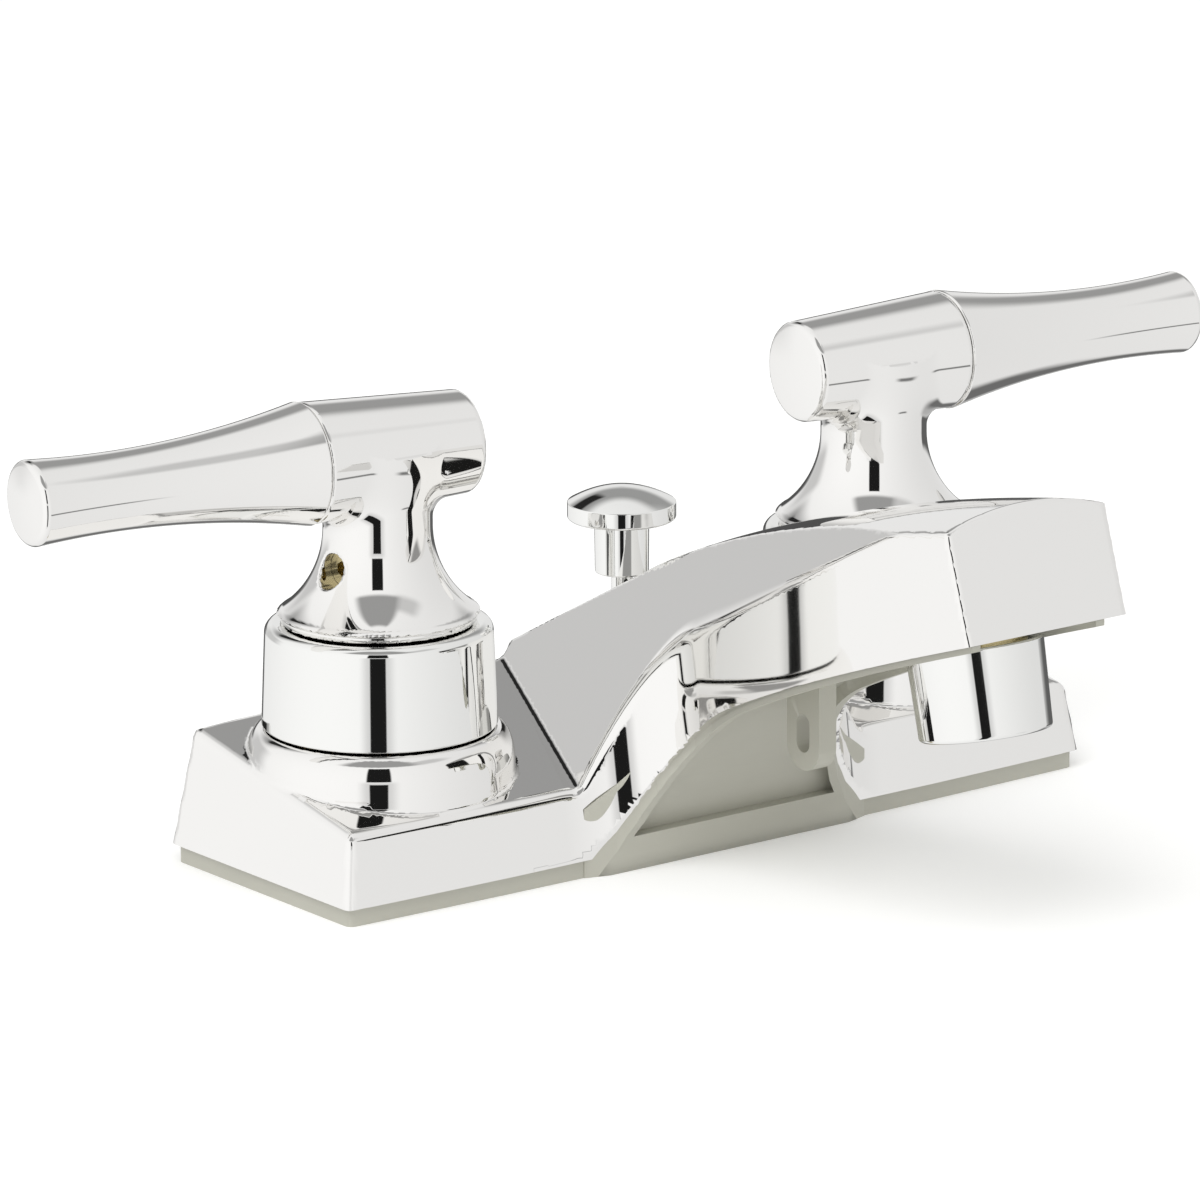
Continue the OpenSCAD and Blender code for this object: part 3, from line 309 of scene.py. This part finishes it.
def skin_object(name, field, low, high, step, place=Matrix.Identity(4)):
    """A mesh object of a field's skin; place moves it, in millimetres, to the row's frame"""
    vertices, quads = contour(field, low, high, step)
    shared = gradient(field, vertices)[quads]
    corners = vertices[quads]
    inward = corners + 0.3 * (corners.mean(1, keepdims=True) - corners)
    own = gradient(field, inward.reshape(-1, 3)).reshape(inward.shape)
    smooth = np.einsum("ijk,ijk->ij", shared, own)[..., None] > SMOOTH_LIMIT
    normals = np.where(smooth, shared, own)
    turn = np.array(place.to_3x3())
    vertices = (vertices @ turn.T + np.array(place.translation)) * MM
    normals = normals.reshape(-1, 3) @ turn.T
    mesh = bpy.data.meshes.new(name)
    mesh.from_pydata(vertices.tolist(), [], quads.tolist())
    mesh.update()
    mesh.polygons.foreach_set("use_smooth", np.ones(len(quads), bool))
    mesh.normals_split_custom_set(normals.tolist())
    piece = bpy.data.objects.new(name, mesh)
    bpy.context.scene.collection.objects.link(piece)
    print(name, "vertices:", len(vertices), "quads:", len(quads))
    return piece


def finish_piece(piece, slot, body, *replaced):
    """Finish, slot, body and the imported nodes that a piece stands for"""
    piece.data.materials.clear()
    piece.data.materials.append(FINISHES[slot])
    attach(piece, body)
    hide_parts(*replaced)
    return piece


# %% [markdown]
# ## The cover: base, domes and spout in one
# The real cover is one moulding, plated all over. Its top is where a sloping plane, two flat
# flanks and a gently crowned back meet. Its wall runs from the base's front face round a hollow
# curve into the spout's side. The lower edge sweeps up to the tip in an S.

# %% Sizes of the cover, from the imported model
AXIS_X = abs(frame["joints"][0]["pos_m"][0]) / MM
cover_low, cover_high = (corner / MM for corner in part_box("body_cover"))
BASE_HALF = cover_high.x
RIM_Z = cover_low.z
SPOUT_TIP = -cover_low.y
TOP_Z, TOP_SLOPE = 18.65, math.tan(math.radians(10.1))
DRAFT = math.radians(8.4)
FRONT, BACK = 24.6, 24.3
FRONT_BOW, BACK_BOW = 1.2, 3.0
SPOUT_HALF, FLARE = 15.8, 16.5
WALL = 2.2
DOME_R, DOME_Z = 21.7, 24.0
TIP_LOW, TIP_LEAN = 53.3, math.radians(17.7)
FLANK = (0.822, 0.256, 0.509, 25.0)
CROWN_R = 48.0
print("cover half length and reach in mm:", round(BASE_HALF, 2), round(SPOUT_TIP, 2))

# %% Curves of the spout, seen from the side
def bend(a, b, c, count):
    """Points on a quadratic curve with control points a, b and c"""
    t = np.linspace(0, 1, count + 1)[:, None]
    return (1 - t) ** 2 * np.array(a) + 2 * t * (1 - t) * np.array(b) + t * t * np.array(c)


front_y = -FRONT - FRONT_BOW + 0.4
edge_mid = (front_y - FLARE - 2.9, 30.0)
low_edge = np.concatenate([
    [[60.0, RIM_Z]],
    bend((front_y, RIM_Z), (front_y - 5.1, 22.6), edge_mid, 24),
    bend(edge_mid, (edge_mid[0] - 19.7, edge_mid[1] + 9.5), (-SPOUT_TIP, TIP_LOW), 24)[1:],
    [[-SPOUT_TIP - 26.5, TIP_LOW + 9.3]],
])
ridge = np.concatenate([
    [[60.0, 37.93 - 0.53 * 60]],
    bend((-14, 45.35), (-30.4, 54.05), (-58, 61.5), 24),
    bend((-58, 61.5), (-78.8, 67.1), (-100, 70.3), 24)[1:],
    [[-120, 71.5]],
])
# The crown stands above the ridge's corners by the sagitta of its width
ridge_half = np.interp(-ridge[:, 0], [27, 42, 57, 73, 100], [7, 8.5, 10.3, 12.8, 15.2])
crown_line = np.stack([ridge[:, 0], ridge[:, 1] + ridge_half ** 2 / (2 * CROWN_R)], -1)


def line_field(y, z, line):
    """Distance from a line of [y, z] points, negative above it"""
    y, z = np.broadcast_arrays(y, z)
    best = np.full(y.shape, 1e9)
    for a, b in zip(line[:-1], line[1:]):
        run = b - a
        t = np.clip(((y - a[0]) * run[0] + (z - a[1]) * run[1]) / (run @ run), 0, 1)
        best = np.minimum(best, np.hypot(y - a[0] - t * run[0], z - a[1] - t * run[1]))
    height = np.interp(-y, -line[:, 0], line[:, 1])
    return np.where(z > height, -best, best)


# %% The cover's field
def cover_outside(x, y, z):
    """The cover as a full solid, with no lower edge and nothing hollowed"""
    across = np.abs(x)
    bow = np.clip(1 - (across / BASE_HALF) ** 2, 0, 1)
    lean = math.tan(DRAFT) * (z - RIM_Z)
    front = (lean - FRONT - FRONT_BOW * bow - y) * math.cos(DRAFT)
    back = (y + lean - BACK - BACK_BOW * bow) * math.cos(DRAFT)
    end = (across + lean - BASE_HALF) * math.cos(DRAFT)
    base_walls = rounded_both(np.maximum(front, back), end, 1.2)
    spout_walls = np.maximum(across - SPOUT_HALF, y)
    walls = filleted_either(base_walls, spout_walls, FLARE)
    top = (z - TOP_Z - TOP_SLOPE * y) * math.cos(math.atan(TOP_SLOPE))
    flank = FLANK[0] * across + FLANK[1] * y + FLANK[2] * z - FLANK[3]
    crown = (z - np.interp(-y, -crown_line[:, 0], crown_line[:, 1]) + across ** 2 / (2 * CROWN_R)) * 0.9
    upper = filleted_either(top, rounded_both(flank, crown, 0.15), 0.7)
    edge_r = np.interp(-y, [26, 42, 60, 75], [1.5, 1.3, 0.6, 0.35])
    body = rounded_both(walls, upper, edge_r)
    tip = (-SPOUT_TIP - y) * math.cos(TIP_LEAN) + (z - TIP_LOW) * math.sin(TIP_LEAN)
    body = rounded_both(body, tip, 0.35)
    from_axis = np.hypot(across - AXIS_X, y)
    dome = rounded_both(from_axis - DOME_R, (z - DOME_Z) * (2.9 / 5.6), 2.9)
    return filleted_either(body, dome, 0.35)


def cover_field(x, y, z):
    outside = cover_outside(x, y, z)
    shell = np.maximum(outside, -(outside + WALL))
    shell = np.maximum(shell, line_field(y, z, low_edge))
    neck = 14.4 - np.hypot(np.abs(x) - AXIS_X, y)
    rod = 2.25 - np.hypot(x, y - 2.4)
    return np.maximum(np.maximum(shell, neck), rod)


cover = skin_object("cover", cover_field, cover_low, cover_high, 0.8)
finish_piece(cover, "chrome_cover", "body", "body_cover")

# %% [markdown]
# ## Turned pieces
# Bells, levers, the knob, its rod and the aerator's shell are round. Each is an outline of
# [radius, height] points turned about an axis. Corners get true arcs, and the normals come from
# the outline itself, so that a straight wall reflects as straight as a lathe makes it.

# %% Outlines with rounded corners
ARC_STEPS = 8
TURN_STEPS = 144
FLOW = -1.0


def soft_outline(outline):
    """[radius, height, corner radius] points as points with the outline's normal before and after"""
    points = [np.array(entry[:2], float) for entry in outline]
    result = []
    for i, (_, _, corner) in enumerate(outline):
        before, point, after = points[i - 1], points[i], points[(i + 1) % len(points)]
        u = (point - before) / np.linalg.norm(point - before)
        v = (after - point) / np.linalg.norm(after - point)
        normal_u, normal_v = np.array((u[1], -u[0])), np.array((v[1], -v[0]))
        if corner == FLOW:
            w = (after - before) / np.linalg.norm(after - before)
            result.append((point, np.array((w[1], -w[0])), np.array((w[1], -w[0]))))
        elif corner == 0:
            result.append((point, normal_u, normal_v))
        else:
            side = 1 if u[0] * v[1] - u[1] * v[0] > 0 else -1
            angle = math.acos(max(-1, min(1, float(u @ v))))
            start = point - u * corner * math.tan(angle / 2)
            centre = start - side * corner * normal_u
            for k in range(ARC_STEPS + 1):
                a = side * angle * k / ARC_STEPS
                normal = np.array((normal_u[0] * math.cos(a) - normal_u[1] * math.sin(a),
                                   normal_u[0] * math.sin(a) + normal_u[1] * math.cos(a)))
                result.append((centre + side * corner * normal, normal, normal))
    return result


def turned_piece(name, outline, place=Matrix.Identity(4)):
    """A mesh object: the outline turned about Z and placed, in millimetres"""
    rings = soft_outline(outline)
    angles = 2 * math.pi * np.arange(TURN_STEPS) / TURN_STEPS
    spokes = np.stack([np.cos(angles), np.sin(angles)], -1)
    vertices, first, single = [], [], []
    for point, _, _ in rings:
        first.append(len(vertices))
        single.append(point[0] < 1e-6)
        if single[-1]:
            vertices.append((0.0, 0.0, point[1]))
        else:
            vertices.extend((point[0] * c, point[0] * s, point[1]) for c, s in spokes)
    faces, normals = [], []
    for i in range(len(rings)):
        j = (i + 1) % len(rings)
        if (single[i] and single[j]) or np.linalg.norm(rings[i][0] - rings[j][0]) < 1e-6:
            continue
        low_normal, high_normal = rings[i][2], rings[j][1]
        for k in range(TURN_STEPS):
            m = (k + 1) % TURN_STEPS
            ring = [(first[i] + (0 if single[i] else k), low_normal, k),
                    (first[i] + (0 if single[i] else m), low_normal, m),
                    (first[j] + (0 if single[j] else m), high_normal, m),
                    (first[j] + (0 if single[j] else k), high_normal, k)]
            if single[i]:
                ring.pop(1)
            if single[j]:
                ring.pop(3 if len(ring) == 4 else 2)
            faces.append([index for index, _, _ in ring])
            normals.extend((n[0] * spokes[t][0], n[0] * spokes[t][1], n[1]) for _, n, t in ring)
    turn = np.array(place.to_3x3())
    vertices = (np.array(vertices) @ turn.T + np.array(place.translation)) * MM
    normals = np.array(normals) @ turn.T
    mesh = bpy.data.meshes.new(name)
    mesh.from_pydata(vertices.tolist(), [], faces)
    mesh.update()
    mesh.polygons.foreach_set("use_smooth", np.ones(len(faces), bool))
    mesh.normals_split_custom_set(normals.tolist())
    piece = bpy.data.objects.new(name, mesh)
    bpy.context.scene.collection.objects.link(piece)
    print(name, "faces:", len(faces))
    return piece


# %% [markdown]
# ## Bells, knob, rod and aerator
# The bell is a drawn cup that hides the valve's nut. The knob is a low mushroom on its rod.
# The aerator leans forward a little so that the stream clears the basin's wall.

# %% Turn the bells
bell_low, bell_high = (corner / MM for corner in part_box("left_bell"))
BELL_LOW_R = (bell_high.x - bell_low.x) / 2
BELL_HIGH_R = 18.3
SIDES = {"left": -1, "right": 1}
for side, sign in SIDES.items():
    outline = [(BELL_LOW_R - 1.5, bell_low.z, 0), (BELL_LOW_R, bell_low.z, 0.45),
               (BELL_HIGH_R, bell_high.z, 1.7), (6, bell_high.z, 0.3), (6, bell_high.z - 2, 0),
               (BELL_HIGH_R - 3.5, bell_high.z - 2, 0), (BELL_HIGH_R - 1.5, bell_high.z - 4, 0)]
    bell = turned_piece(side + "_bell_skin", outline, Matrix.Translation((sign * AXIS_X, 0, 0)))
    finish_piece(bell, "chrome_trim", "body", side + "_bell")

# %% Turn the knob and its rod
knob_low, knob_high = (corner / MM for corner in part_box("lift_knob"))
rod_low, rod_high = (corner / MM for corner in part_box("lift_rod"))
KNOB_R = (knob_high.x - knob_low.x) / 2
ROD_R = (rod_high.x - rod_low.x) / 2
ROD_Y = (rod_low.y + rod_high.y) / 2
CAP_LOW, CAP_BAND = 49.5, 2.8
cap_top = CAP_LOW + CAP_BAND
dome = [(KNOB_R * s, cap_top + (knob_high.z - cap_top) * (1 - s * s), FLOW)
        for s in (0.94, 0.85, 0.75, 0.65, 0.55, 0.45, 0.35, 0.25, 0.15, 0.05)]
knob = turned_piece("knob_skin", [
    (0, rod_high.z + 0.2, 0), (ROD_R + 0.05, rod_high.z + 0.2, 0), (ROD_R + 0.05, knob_low.z, 0),
    (4.4, knob_low.z, 0.3), (4.5, CAP_LOW, 0.25), (KNOB_R, CAP_LOW, 0.5), (KNOB_R, cap_top, 0.25)]
    + dome + [(0, knob_high.z, 0)], Matrix.Translation((0, ROD_Y, 0)))
finish_piece(knob, "chrome_trim", "pop_up_rod", "lift_knob")
rod = turned_piece("rod_skin", [(0, rod_low.z, 0), (ROD_R, rod_low.z, 0.3), (ROD_R, rod_high.z, 0),
                                (0, rod_high.z, 0)], Matrix.Translation((0, ROD_Y, 0)))
finish_piece(rod, "chrome_trim", "pop_up_rod", "lift_rod")

# %% Turn the aerator's shell
OUTLET_PLACE = (Matrix.Translation((0, -SPOUT_TIP + 14.7, 33.5))
                @ Matrix.Rotation(math.radians(-12), 4, "X"))
shell = turned_piece("aerator_skin", [
    (7.6, 0.9, 0), (7.6, 0.15, 0.15), (10.55, 0, 0.7), (10.9, 14.6, 0.4), (8.5, 14.6, 0), (8.5, 0.9, 0)],
    OUTLET_PLACE)
finish_piece(shell, "chrome_trim", "body", "aerator_shell")

# %% [markdown]
# ## The aerator's insert
# Behind the shell's lip sits a moulded disc with two rings of fine holes that break up the
# stream. Holes that repeat round a ring suit Geometry Nodes: one small pin is instanced on the
# points of a circle, the rings are joined, and the pins are cut out of the disc.

# %% Build the node tree of a pierced disc
def node_group(name, sizes):
    """An empty Geometry Nodes tree with a named input for each size, and its default"""
    tree = bpy.data.node_groups.new(name, "GeometryNodeTree")
    tree.interface.new_socket(name="Geometry", in_out="OUTPUT", socket_type="NodeSocketGeometry")
    for label, value in sizes.items():
        kind = "NodeSocketInt" if isinstance(value, int) else "NodeSocketFloat"
        socket = tree.interface.new_socket(name=label, in_out="INPUT", socket_type=kind)
        socket.default_value = value
    given = add(tree, "NodeGroupInput").outputs
    return tree, given


def pierced_disc(sizes, material):
    tree, given = node_group("pierced_disc", sizes)
    lift = add(tree, "ShaderNodeCombineXYZ", Z=given["Middle Height"])
    disc = add(tree, "GeometryNodeMeshCylinder", Vertices=96, Radius=given["Disc Radius"],
               Depth=given["Disc Thickness"])
    pins = add(tree, "GeometryNodeJoinGeometry")
    for ring in ("Inner Ring", "Outer Ring"):
        hole = add(tree, "ShaderNodeMath", {"operation": "MULTIPLY"}, i0=given[ring],
                   i1=given["Hole Share"])
        longer = add(tree, "ShaderNodeMath", {"operation": "MULTIPLY"},
                     i0=given["Disc Thickness"], i1=1.2)
        pin = add(tree, "GeometryNodeMeshCylinder", Vertices=20, Radius=hole.outputs[0],
                  Depth=longer.outputs[0])
        circle = add(tree, "GeometryNodeMeshCircle", Vertices=given["Holes In A Ring"],
                     Radius=given[ring])
        copies = add(tree, "GeometryNodeInstanceOnPoints", Points=circle.outputs["Mesh"],
                     Instance=pin.outputs["Mesh"])
        tree.links.new(copies.outputs["Instances"], pins.inputs["Geometry"])
    solid_pins = add(tree, "GeometryNodeRealizeInstances", Geometry=pins.outputs["Geometry"])
    cut = add(tree, "GeometryNodeMeshBoolean", {"operation": "DIFFERENCE"}, i0=disc.outputs["Mesh"],
              i1=solid_pins.outputs["Geometry"])
    placed = add(tree, "GeometryNodeTransform", Geometry=cut.outputs["Mesh"],
                 Translation=lift.outputs["Vector"])
    whole = add(tree, "GeometryNodeRealizeInstances", Geometry=placed.outputs["Geometry"])
    finished = add(tree, "GeometryNodeSetMaterial", Geometry=whole.outputs["Geometry"],
                   Material=material)
    add(tree, "NodeGroupOutput", Geometry=finished.outputs["Geometry"])
    return tree


def grown_piece(name, tree, sizes, place):
    """A plain mesh object from a node tree with its inputs set; place is in millimetres"""
    carrier = bpy.data.objects.new(name + "_carrier", bpy.data.meshes.new(name + "_carrier"))
    bpy.context.scene.collection.objects.link(carrier)
    modifier = carrier.modifiers.new("grow", "NODES")
    modifier.node_group = tree
    for socket in tree.interface.items_tree:
        if socket.in_out == "INPUT":
            modifier[socket.identifier] = sizes[socket.name]
    graph = bpy.context.evaluated_depsgraph_get()
    mesh = bpy.data.meshes.new_from_object(carrier.evaluated_get(graph))
    carrier.modifiers.remove(modifier)
    bpy.data.objects.remove(carrier)
    mesh.name = name
    mesh.transform(Matrix.Translation(place.translation * MM) @ place.to_3x3().to_4x4())
    piece = bpy.data.objects.new(name, mesh)
    bpy.context.scene.collection.objects.link(piece)
    print(name, "faces:", len(mesh.polygons))
    return piece


# %% Grow the insert
INSERT_LOW, INSERT_THICK = 1.0, 4.9
insert_sizes = {"Disc Radius": 8.3 * MM, "Disc Thickness": INSERT_THICK * MM,
                "Middle Height": (INSERT_LOW + INSERT_THICK / 2) * MM, "Inner Ring": 2.6 * MM,
                "Outer Ring": 5.2 * MM, "Hole Share": 1 / 7, "Holes In A Ring": 12}
insert = grown_piece("aerator_insert_skin", pierced_disc(insert_sizes, white_acetal), insert_sizes,
                     OUTLET_PLACE)
finish_piece(insert, "white_plastic", "body", "aerator_insert")

# %% [markdown]
# ## Handles
# Each handle is two castings. The hub is a trumpet foot that runs into a cross barrel over a
# small fillet, so it is a field too. The lever is turned: its flank is one long hollow arc.

# %% The hub's field, with the barrel along +X
LEVER_Z = 68.8
HUB_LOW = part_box("left_hub")[0].z / MM
FLANGE_R, FLANGE_T = 15.8, 1.6
NECK_R, NECK_ARC, NECK_Z = 8.8, 17.0, 57.0
BARREL_IN, BARREL_OUT = 16.15, 13.25
BARREL_IN_R, BARREL_OUT_R = 8.3, 9.8
SCREW_Z, SCREW_HOLE_R, SCREW_TURN = 51.0, 2.8, 10.0
LEVER_TURN = {"left": 180 - 6.9, "right": -4.5}


def hub_field_for(sign):
    turn = math.radians(-sign * SCREW_TURN)

    def hub_field(x, y, z):
        from_axis = np.hypot(x, y)
        below = np.clip(z - NECK_Z, -16.5, 0)
        drop = np.sqrt(NECK_ARC ** 2 - below ** 2)
        neck = (from_axis - NECK_R - NECK_ARC + drop) * drop / NECK_ARC
        neck = np.maximum(np.maximum(neck, HUB_LOW + FLANGE_T - 0.4 - z), z - LEVER_Z)
        flange = rounded_both(from_axis - FLANGE_R,
                              np.abs(z - HUB_LOW - FLANGE_T / 2) - FLANGE_T / 2, 0.35)
        share = (x + BARREL_IN) / (BARREL_IN + BARREL_OUT)
        radius = BARREL_IN_R + (BARREL_OUT_R - BARREL_IN_R) * share
        from_barrel = np.hypot(y, z - LEVER_Z)
        crowned = -BARREL_IN - x + 0.6 * (from_barrel / BARREL_IN_R) ** 2
        barrel = rounded_both(from_barrel - radius, crowned, 0.9)
        barrel = rounded_both(barrel, x - BARREL_OUT, 0.35)
        hub = filleted_either(filleted_either(barrel, neck, 2.6), flange, 0.5)
        stem = np.maximum(from_axis - 4.05, z - 60.5)
        along = x * math.cos(turn) + y * math.sin(turn)
        across = np.hypot(y * math.cos(turn) - x * math.sin(turn), z - SCREW_Z)
        hole = np.maximum(across - SCREW_HOLE_R, -along)
        return rounded_both(np.maximum(hub, -stem), -hole, 0.35)

    return hub_field


# %% Skin the hubs
def handle_place(side):
    return (Matrix.Translation((SIDES[side] * AXIS_X, 0, 0))
            @ Matrix.Rotation(math.radians(LEVER_TURN[side]), 4, "Z"))


for side, sign in SIDES.items():
    hub = skin_object(side + "_hub_skin", hub_field_for(sign), (-16.5, -16, HUB_LOW), (16.5, 16, 79),
                      0.45, handle_place(side))
    finish_piece(hub, "chrome_handle", side + "_handle", side + "_hub")

# %% Turn the levers
SEAM_GAP, STUD_R, STUD_L = 0.1, 3.0, 8.0
LEVER_TIP, WAIST_AT, WAIST_R, FLANK_R = 62.6, 48.0, 6.33, 165.0
LEVER_START = BARREL_OUT + SEAM_GAP


def lever_radius(s):
    return WAIST_R + FLANK_R - math.sqrt(FLANK_R ** 2 - (s - WAIST_AT) ** 2)


flank_points = [(lever_radius(s), s, FLOW) for s in np.linspace(LEVER_START + 0.9, LEVER_TIP - 1.6, 40)]
lever_outline = ([(0, LEVER_START - STUD_L, 0), (STUD_R, LEVER_START - STUD_L, 0),
                  (STUD_R, LEVER_START, 0), (lever_radius(LEVER_START), LEVER_START, 0.35)]
                 + flank_points
                 + [(lever_radius(LEVER_TIP) + 0.02, LEVER_TIP, 1.1), (3.4, LEVER_TIP + 0.45, FLOW),
                    (1.2, LEVER_TIP + 0.58, FLOW), (0, LEVER_TIP + 0.6, 0)])
for side in SIDES:
    lay_over = Matrix.Translation((0, 0, LEVER_Z)) @ Matrix.Rotation(math.radians(90), 4, "Y")
    lever = turned_piece(side + "_lever_skin", lever_outline, handle_place(side) @ lay_over)
    finish_piece(lever, "chrome_handle", side + "_handle", side + "_lever")

# %% [markdown]
# ## The grey underbody
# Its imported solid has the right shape. A copy with its corners merged can be shaded smooth over
# the S-shaped sweep while its edges stay crisp.

# %% Smooth a copy of the underbody
def smoothed_copy(name, node, limit_degrees):
    mesh = nodes[node].data.copy()
    mesh.name = name
    work = bmesh.new()
    work.from_mesh(mesh)
    bmesh.ops.remove_doubles(work, verts=work.verts, dist=1e-6)
    work.to_mesh(mesh)
    work.free()
    mesh.polygons.foreach_set("use_smooth", np.ones(len(mesh.polygons), bool))
    mesh.set_sharp_from_angle(angle=math.radians(limit_degrees))
    piece = bpy.data.objects.new(name, mesh)
    bpy.context.scene.collection.objects.link(piece)
    return piece


underbody = smoothed_copy("underbody_skin", "underbody", 25)
finish_piece(underbody, "grey_moulding", "body", "underbody")

# %% [markdown]
# ## Studio
# The floor is the deck that the faucet stands on. Chrome shows the room, so the world is built
# as the photographer's tent: soft panels of brightness in set directions for reflections, plain white
# for the camera, and an even light for everything else.

# %% Lay the floor
def make_floor():
    size = 4.0
    mesh = bpy.data.meshes.new("floor")
    mesh.from_pydata([(-size, -size, 0), (size, -size, 0), (size, size, 0), (-size, size, 0)], [],
                     [(0, 1, 2, 3)])
    floor = bpy.data.objects.new("floor", mesh)
    bpy.context.scene.collection.objects.link(floor)
    material, tree, shader = new_material("pale_floor", "F4F4F4", 0.0, 0.9)
    shader.inputs["Specular IOR Level"].default_value = 0
    rays = add(tree, "ShaderNodeLightPath")
    lift = add(tree, "ShaderNodeMath", {"operation": "MULTIPLY"}, i0=rays.outputs["Is Camera Ray"], i1=0.16)
    tree.links.new(lift.outputs[0], shader.inputs["Emission Strength"])
    shader.inputs["Emission Color"].default_value = (1, 1, 1, 1)
    mesh.materials.append(material)
    floor.visible_glossy = False
    return floor


floor = make_floor()

# %% Panels that the chrome reflects
# Directions are in degrees: azimuth 0 is the row's +X and 90 is behind the faucet, and
# elevation is above the horizon. Each panel has its middle, half its width and height, its
# brightness and how softly it fades out across and upwards.
TENT_BRIGHTNESS, SIDE_FALL = 0.92, 0.13
CAMERA_SIDE = -127.3
PANELS = {
    "floor_edge": (38, -28, 46, 8, 0.46, 16, 12),
    "table_front": (-62, -21, 9, 1.4, 0.20, 8, 2.0),
    "table_back": (40, -40, 40, 9, 0.16, 20, 8),
    "dark_room": (36, -14, 37, 6, 0.12, 4, 5),
    "doorway": (64, -4, 16, 7, 0.08, 8, 5),
    "side_wall": (96, 5, 18, 13, 0.61, 20, 10),
    "ceiling_behind": (58, 37, 42, 15, 0.34, 26, 14),
    "dark_beam": (78, 36, 12, 7, 0.02, 6, 4),
    "ceiling_side": (-68, 53, 22, 8, 0.60, 22, 8),
    "ceiling_front": (-127, 64, 42, 18, 0.34, 18, 5),
    "photographer": (CAMERA_SIDE, -24, 14, 30, 0.72, 12, 8),
    "stand": (CAMERA_SIDE, -24, 7.8, 26.0, 0.012, 1.4, 1.0),
    "lens_card": (CAMERA_SIDE, 24, 10.5, 17, 0.012, 2.0, 1.0),
}


def make_world():
    world = bpy.data.worlds.new("studio")
    bpy.context.scene.world = world
    world.use_nodes = True
    tree = world.node_tree
    tree.nodes.clear()

    def math_node(operation, *values):
        inputs = {"i" + str(k): value for k, value in enumerate(values)}
        return add(tree, "ShaderNodeMath", {"operation": operation}, **inputs).outputs[0]

    def fade(distance, half, blur):
        return add(tree, "ShaderNodeMapRange", {"interpolation_type": "SMOOTHSTEP"}, Value=distance,
                   From_Min=half + blur / 2, From_Max=half - blur / 2).outputs["Result"]

    place = add(tree, "ShaderNodeTexCoord")
    split = add(tree, "ShaderNodeSeparateXYZ", Vector=place.outputs["Generated"])
    turn = math_node("ARCTAN2", split.outputs["Y"], split.outputs["X"])
    azimuth = math_node("DEGREES", turn)
    elevation = math_node("DEGREES", math_node("ARCSINE", split.outputs["Z"]))
    fall = math_node("MULTIPLY", split.outputs["X"], SIDE_FALL)
    shade = math_node("SUBTRACT", TENT_BRIGHTNESS, fall)
    for across, up, half_width, half_height, brightness, blur_across, blur_up in PANELS.values():
        aside = math_node("WRAP", math_node("SUBTRACT", azimuth, across), 180.0, -180.0)
        over = math_node("SUBTRACT", elevation, up)
        cover_across = fade(math_node("ABSOLUTE", aside), half_width, blur_across)
        cover_up = fade(math_node("ABSOLUTE", over), half_height, blur_up)
        part = math_node("MULTIPLY", cover_across, cover_up)
        shade = add(tree, "ShaderNodeMix", Factor=part, A=shade, B=brightness).outputs[0]
    rays = add(tree, "ShaderNodeLightPath")
    mirror = add(tree, "ShaderNodeBackground", Color=shade, Strength=1.0)
    even = add(tree, "ShaderNodeBackground", Color=(1.0, 1.0, 0.98, 1), Strength=0.80)
    white = add(tree, "ShaderNodeBackground", Color=(1, 1, 1, 1), Strength=1.0)
    glossy = add(tree, "ShaderNodeMixShader", i0=rays.outputs["Is Glossy Ray"],
                 i1=even.outputs[0], i2=mirror.outputs[0])
    seen = add(tree, "ShaderNodeMixShader", i0=rays.outputs["Is Camera Ray"],
               i1=glossy.outputs[0], i2=white.outputs[0])
    add(tree, "ShaderNodeOutputWorld", Surface=seen.outputs[0])
    print("panels in the tent:", len(PANELS))


make_world()

# %% Hang one soft lamp
def soft_lamp(name, place, size, watts):
    lamp = bpy.data.objects.new(name, bpy.data.lights.new(name, "AREA"))
    lamp.data.size = size
    lamp.data.energy = watts
    lamp.location = place
    lamp.rotation_euler = (-Vector(place)).to_track_quat("-Z", "Y").to_euler()
    lamp.visible_glossy = False
    bpy.context.scene.collection.objects.link(lamp)
    return lamp


key = soft_lamp("key_lamp", (-0.9, -0.5, 1.5), 1.2, 14)
bpy.context.scene.view_settings.view_transform = "Standard"
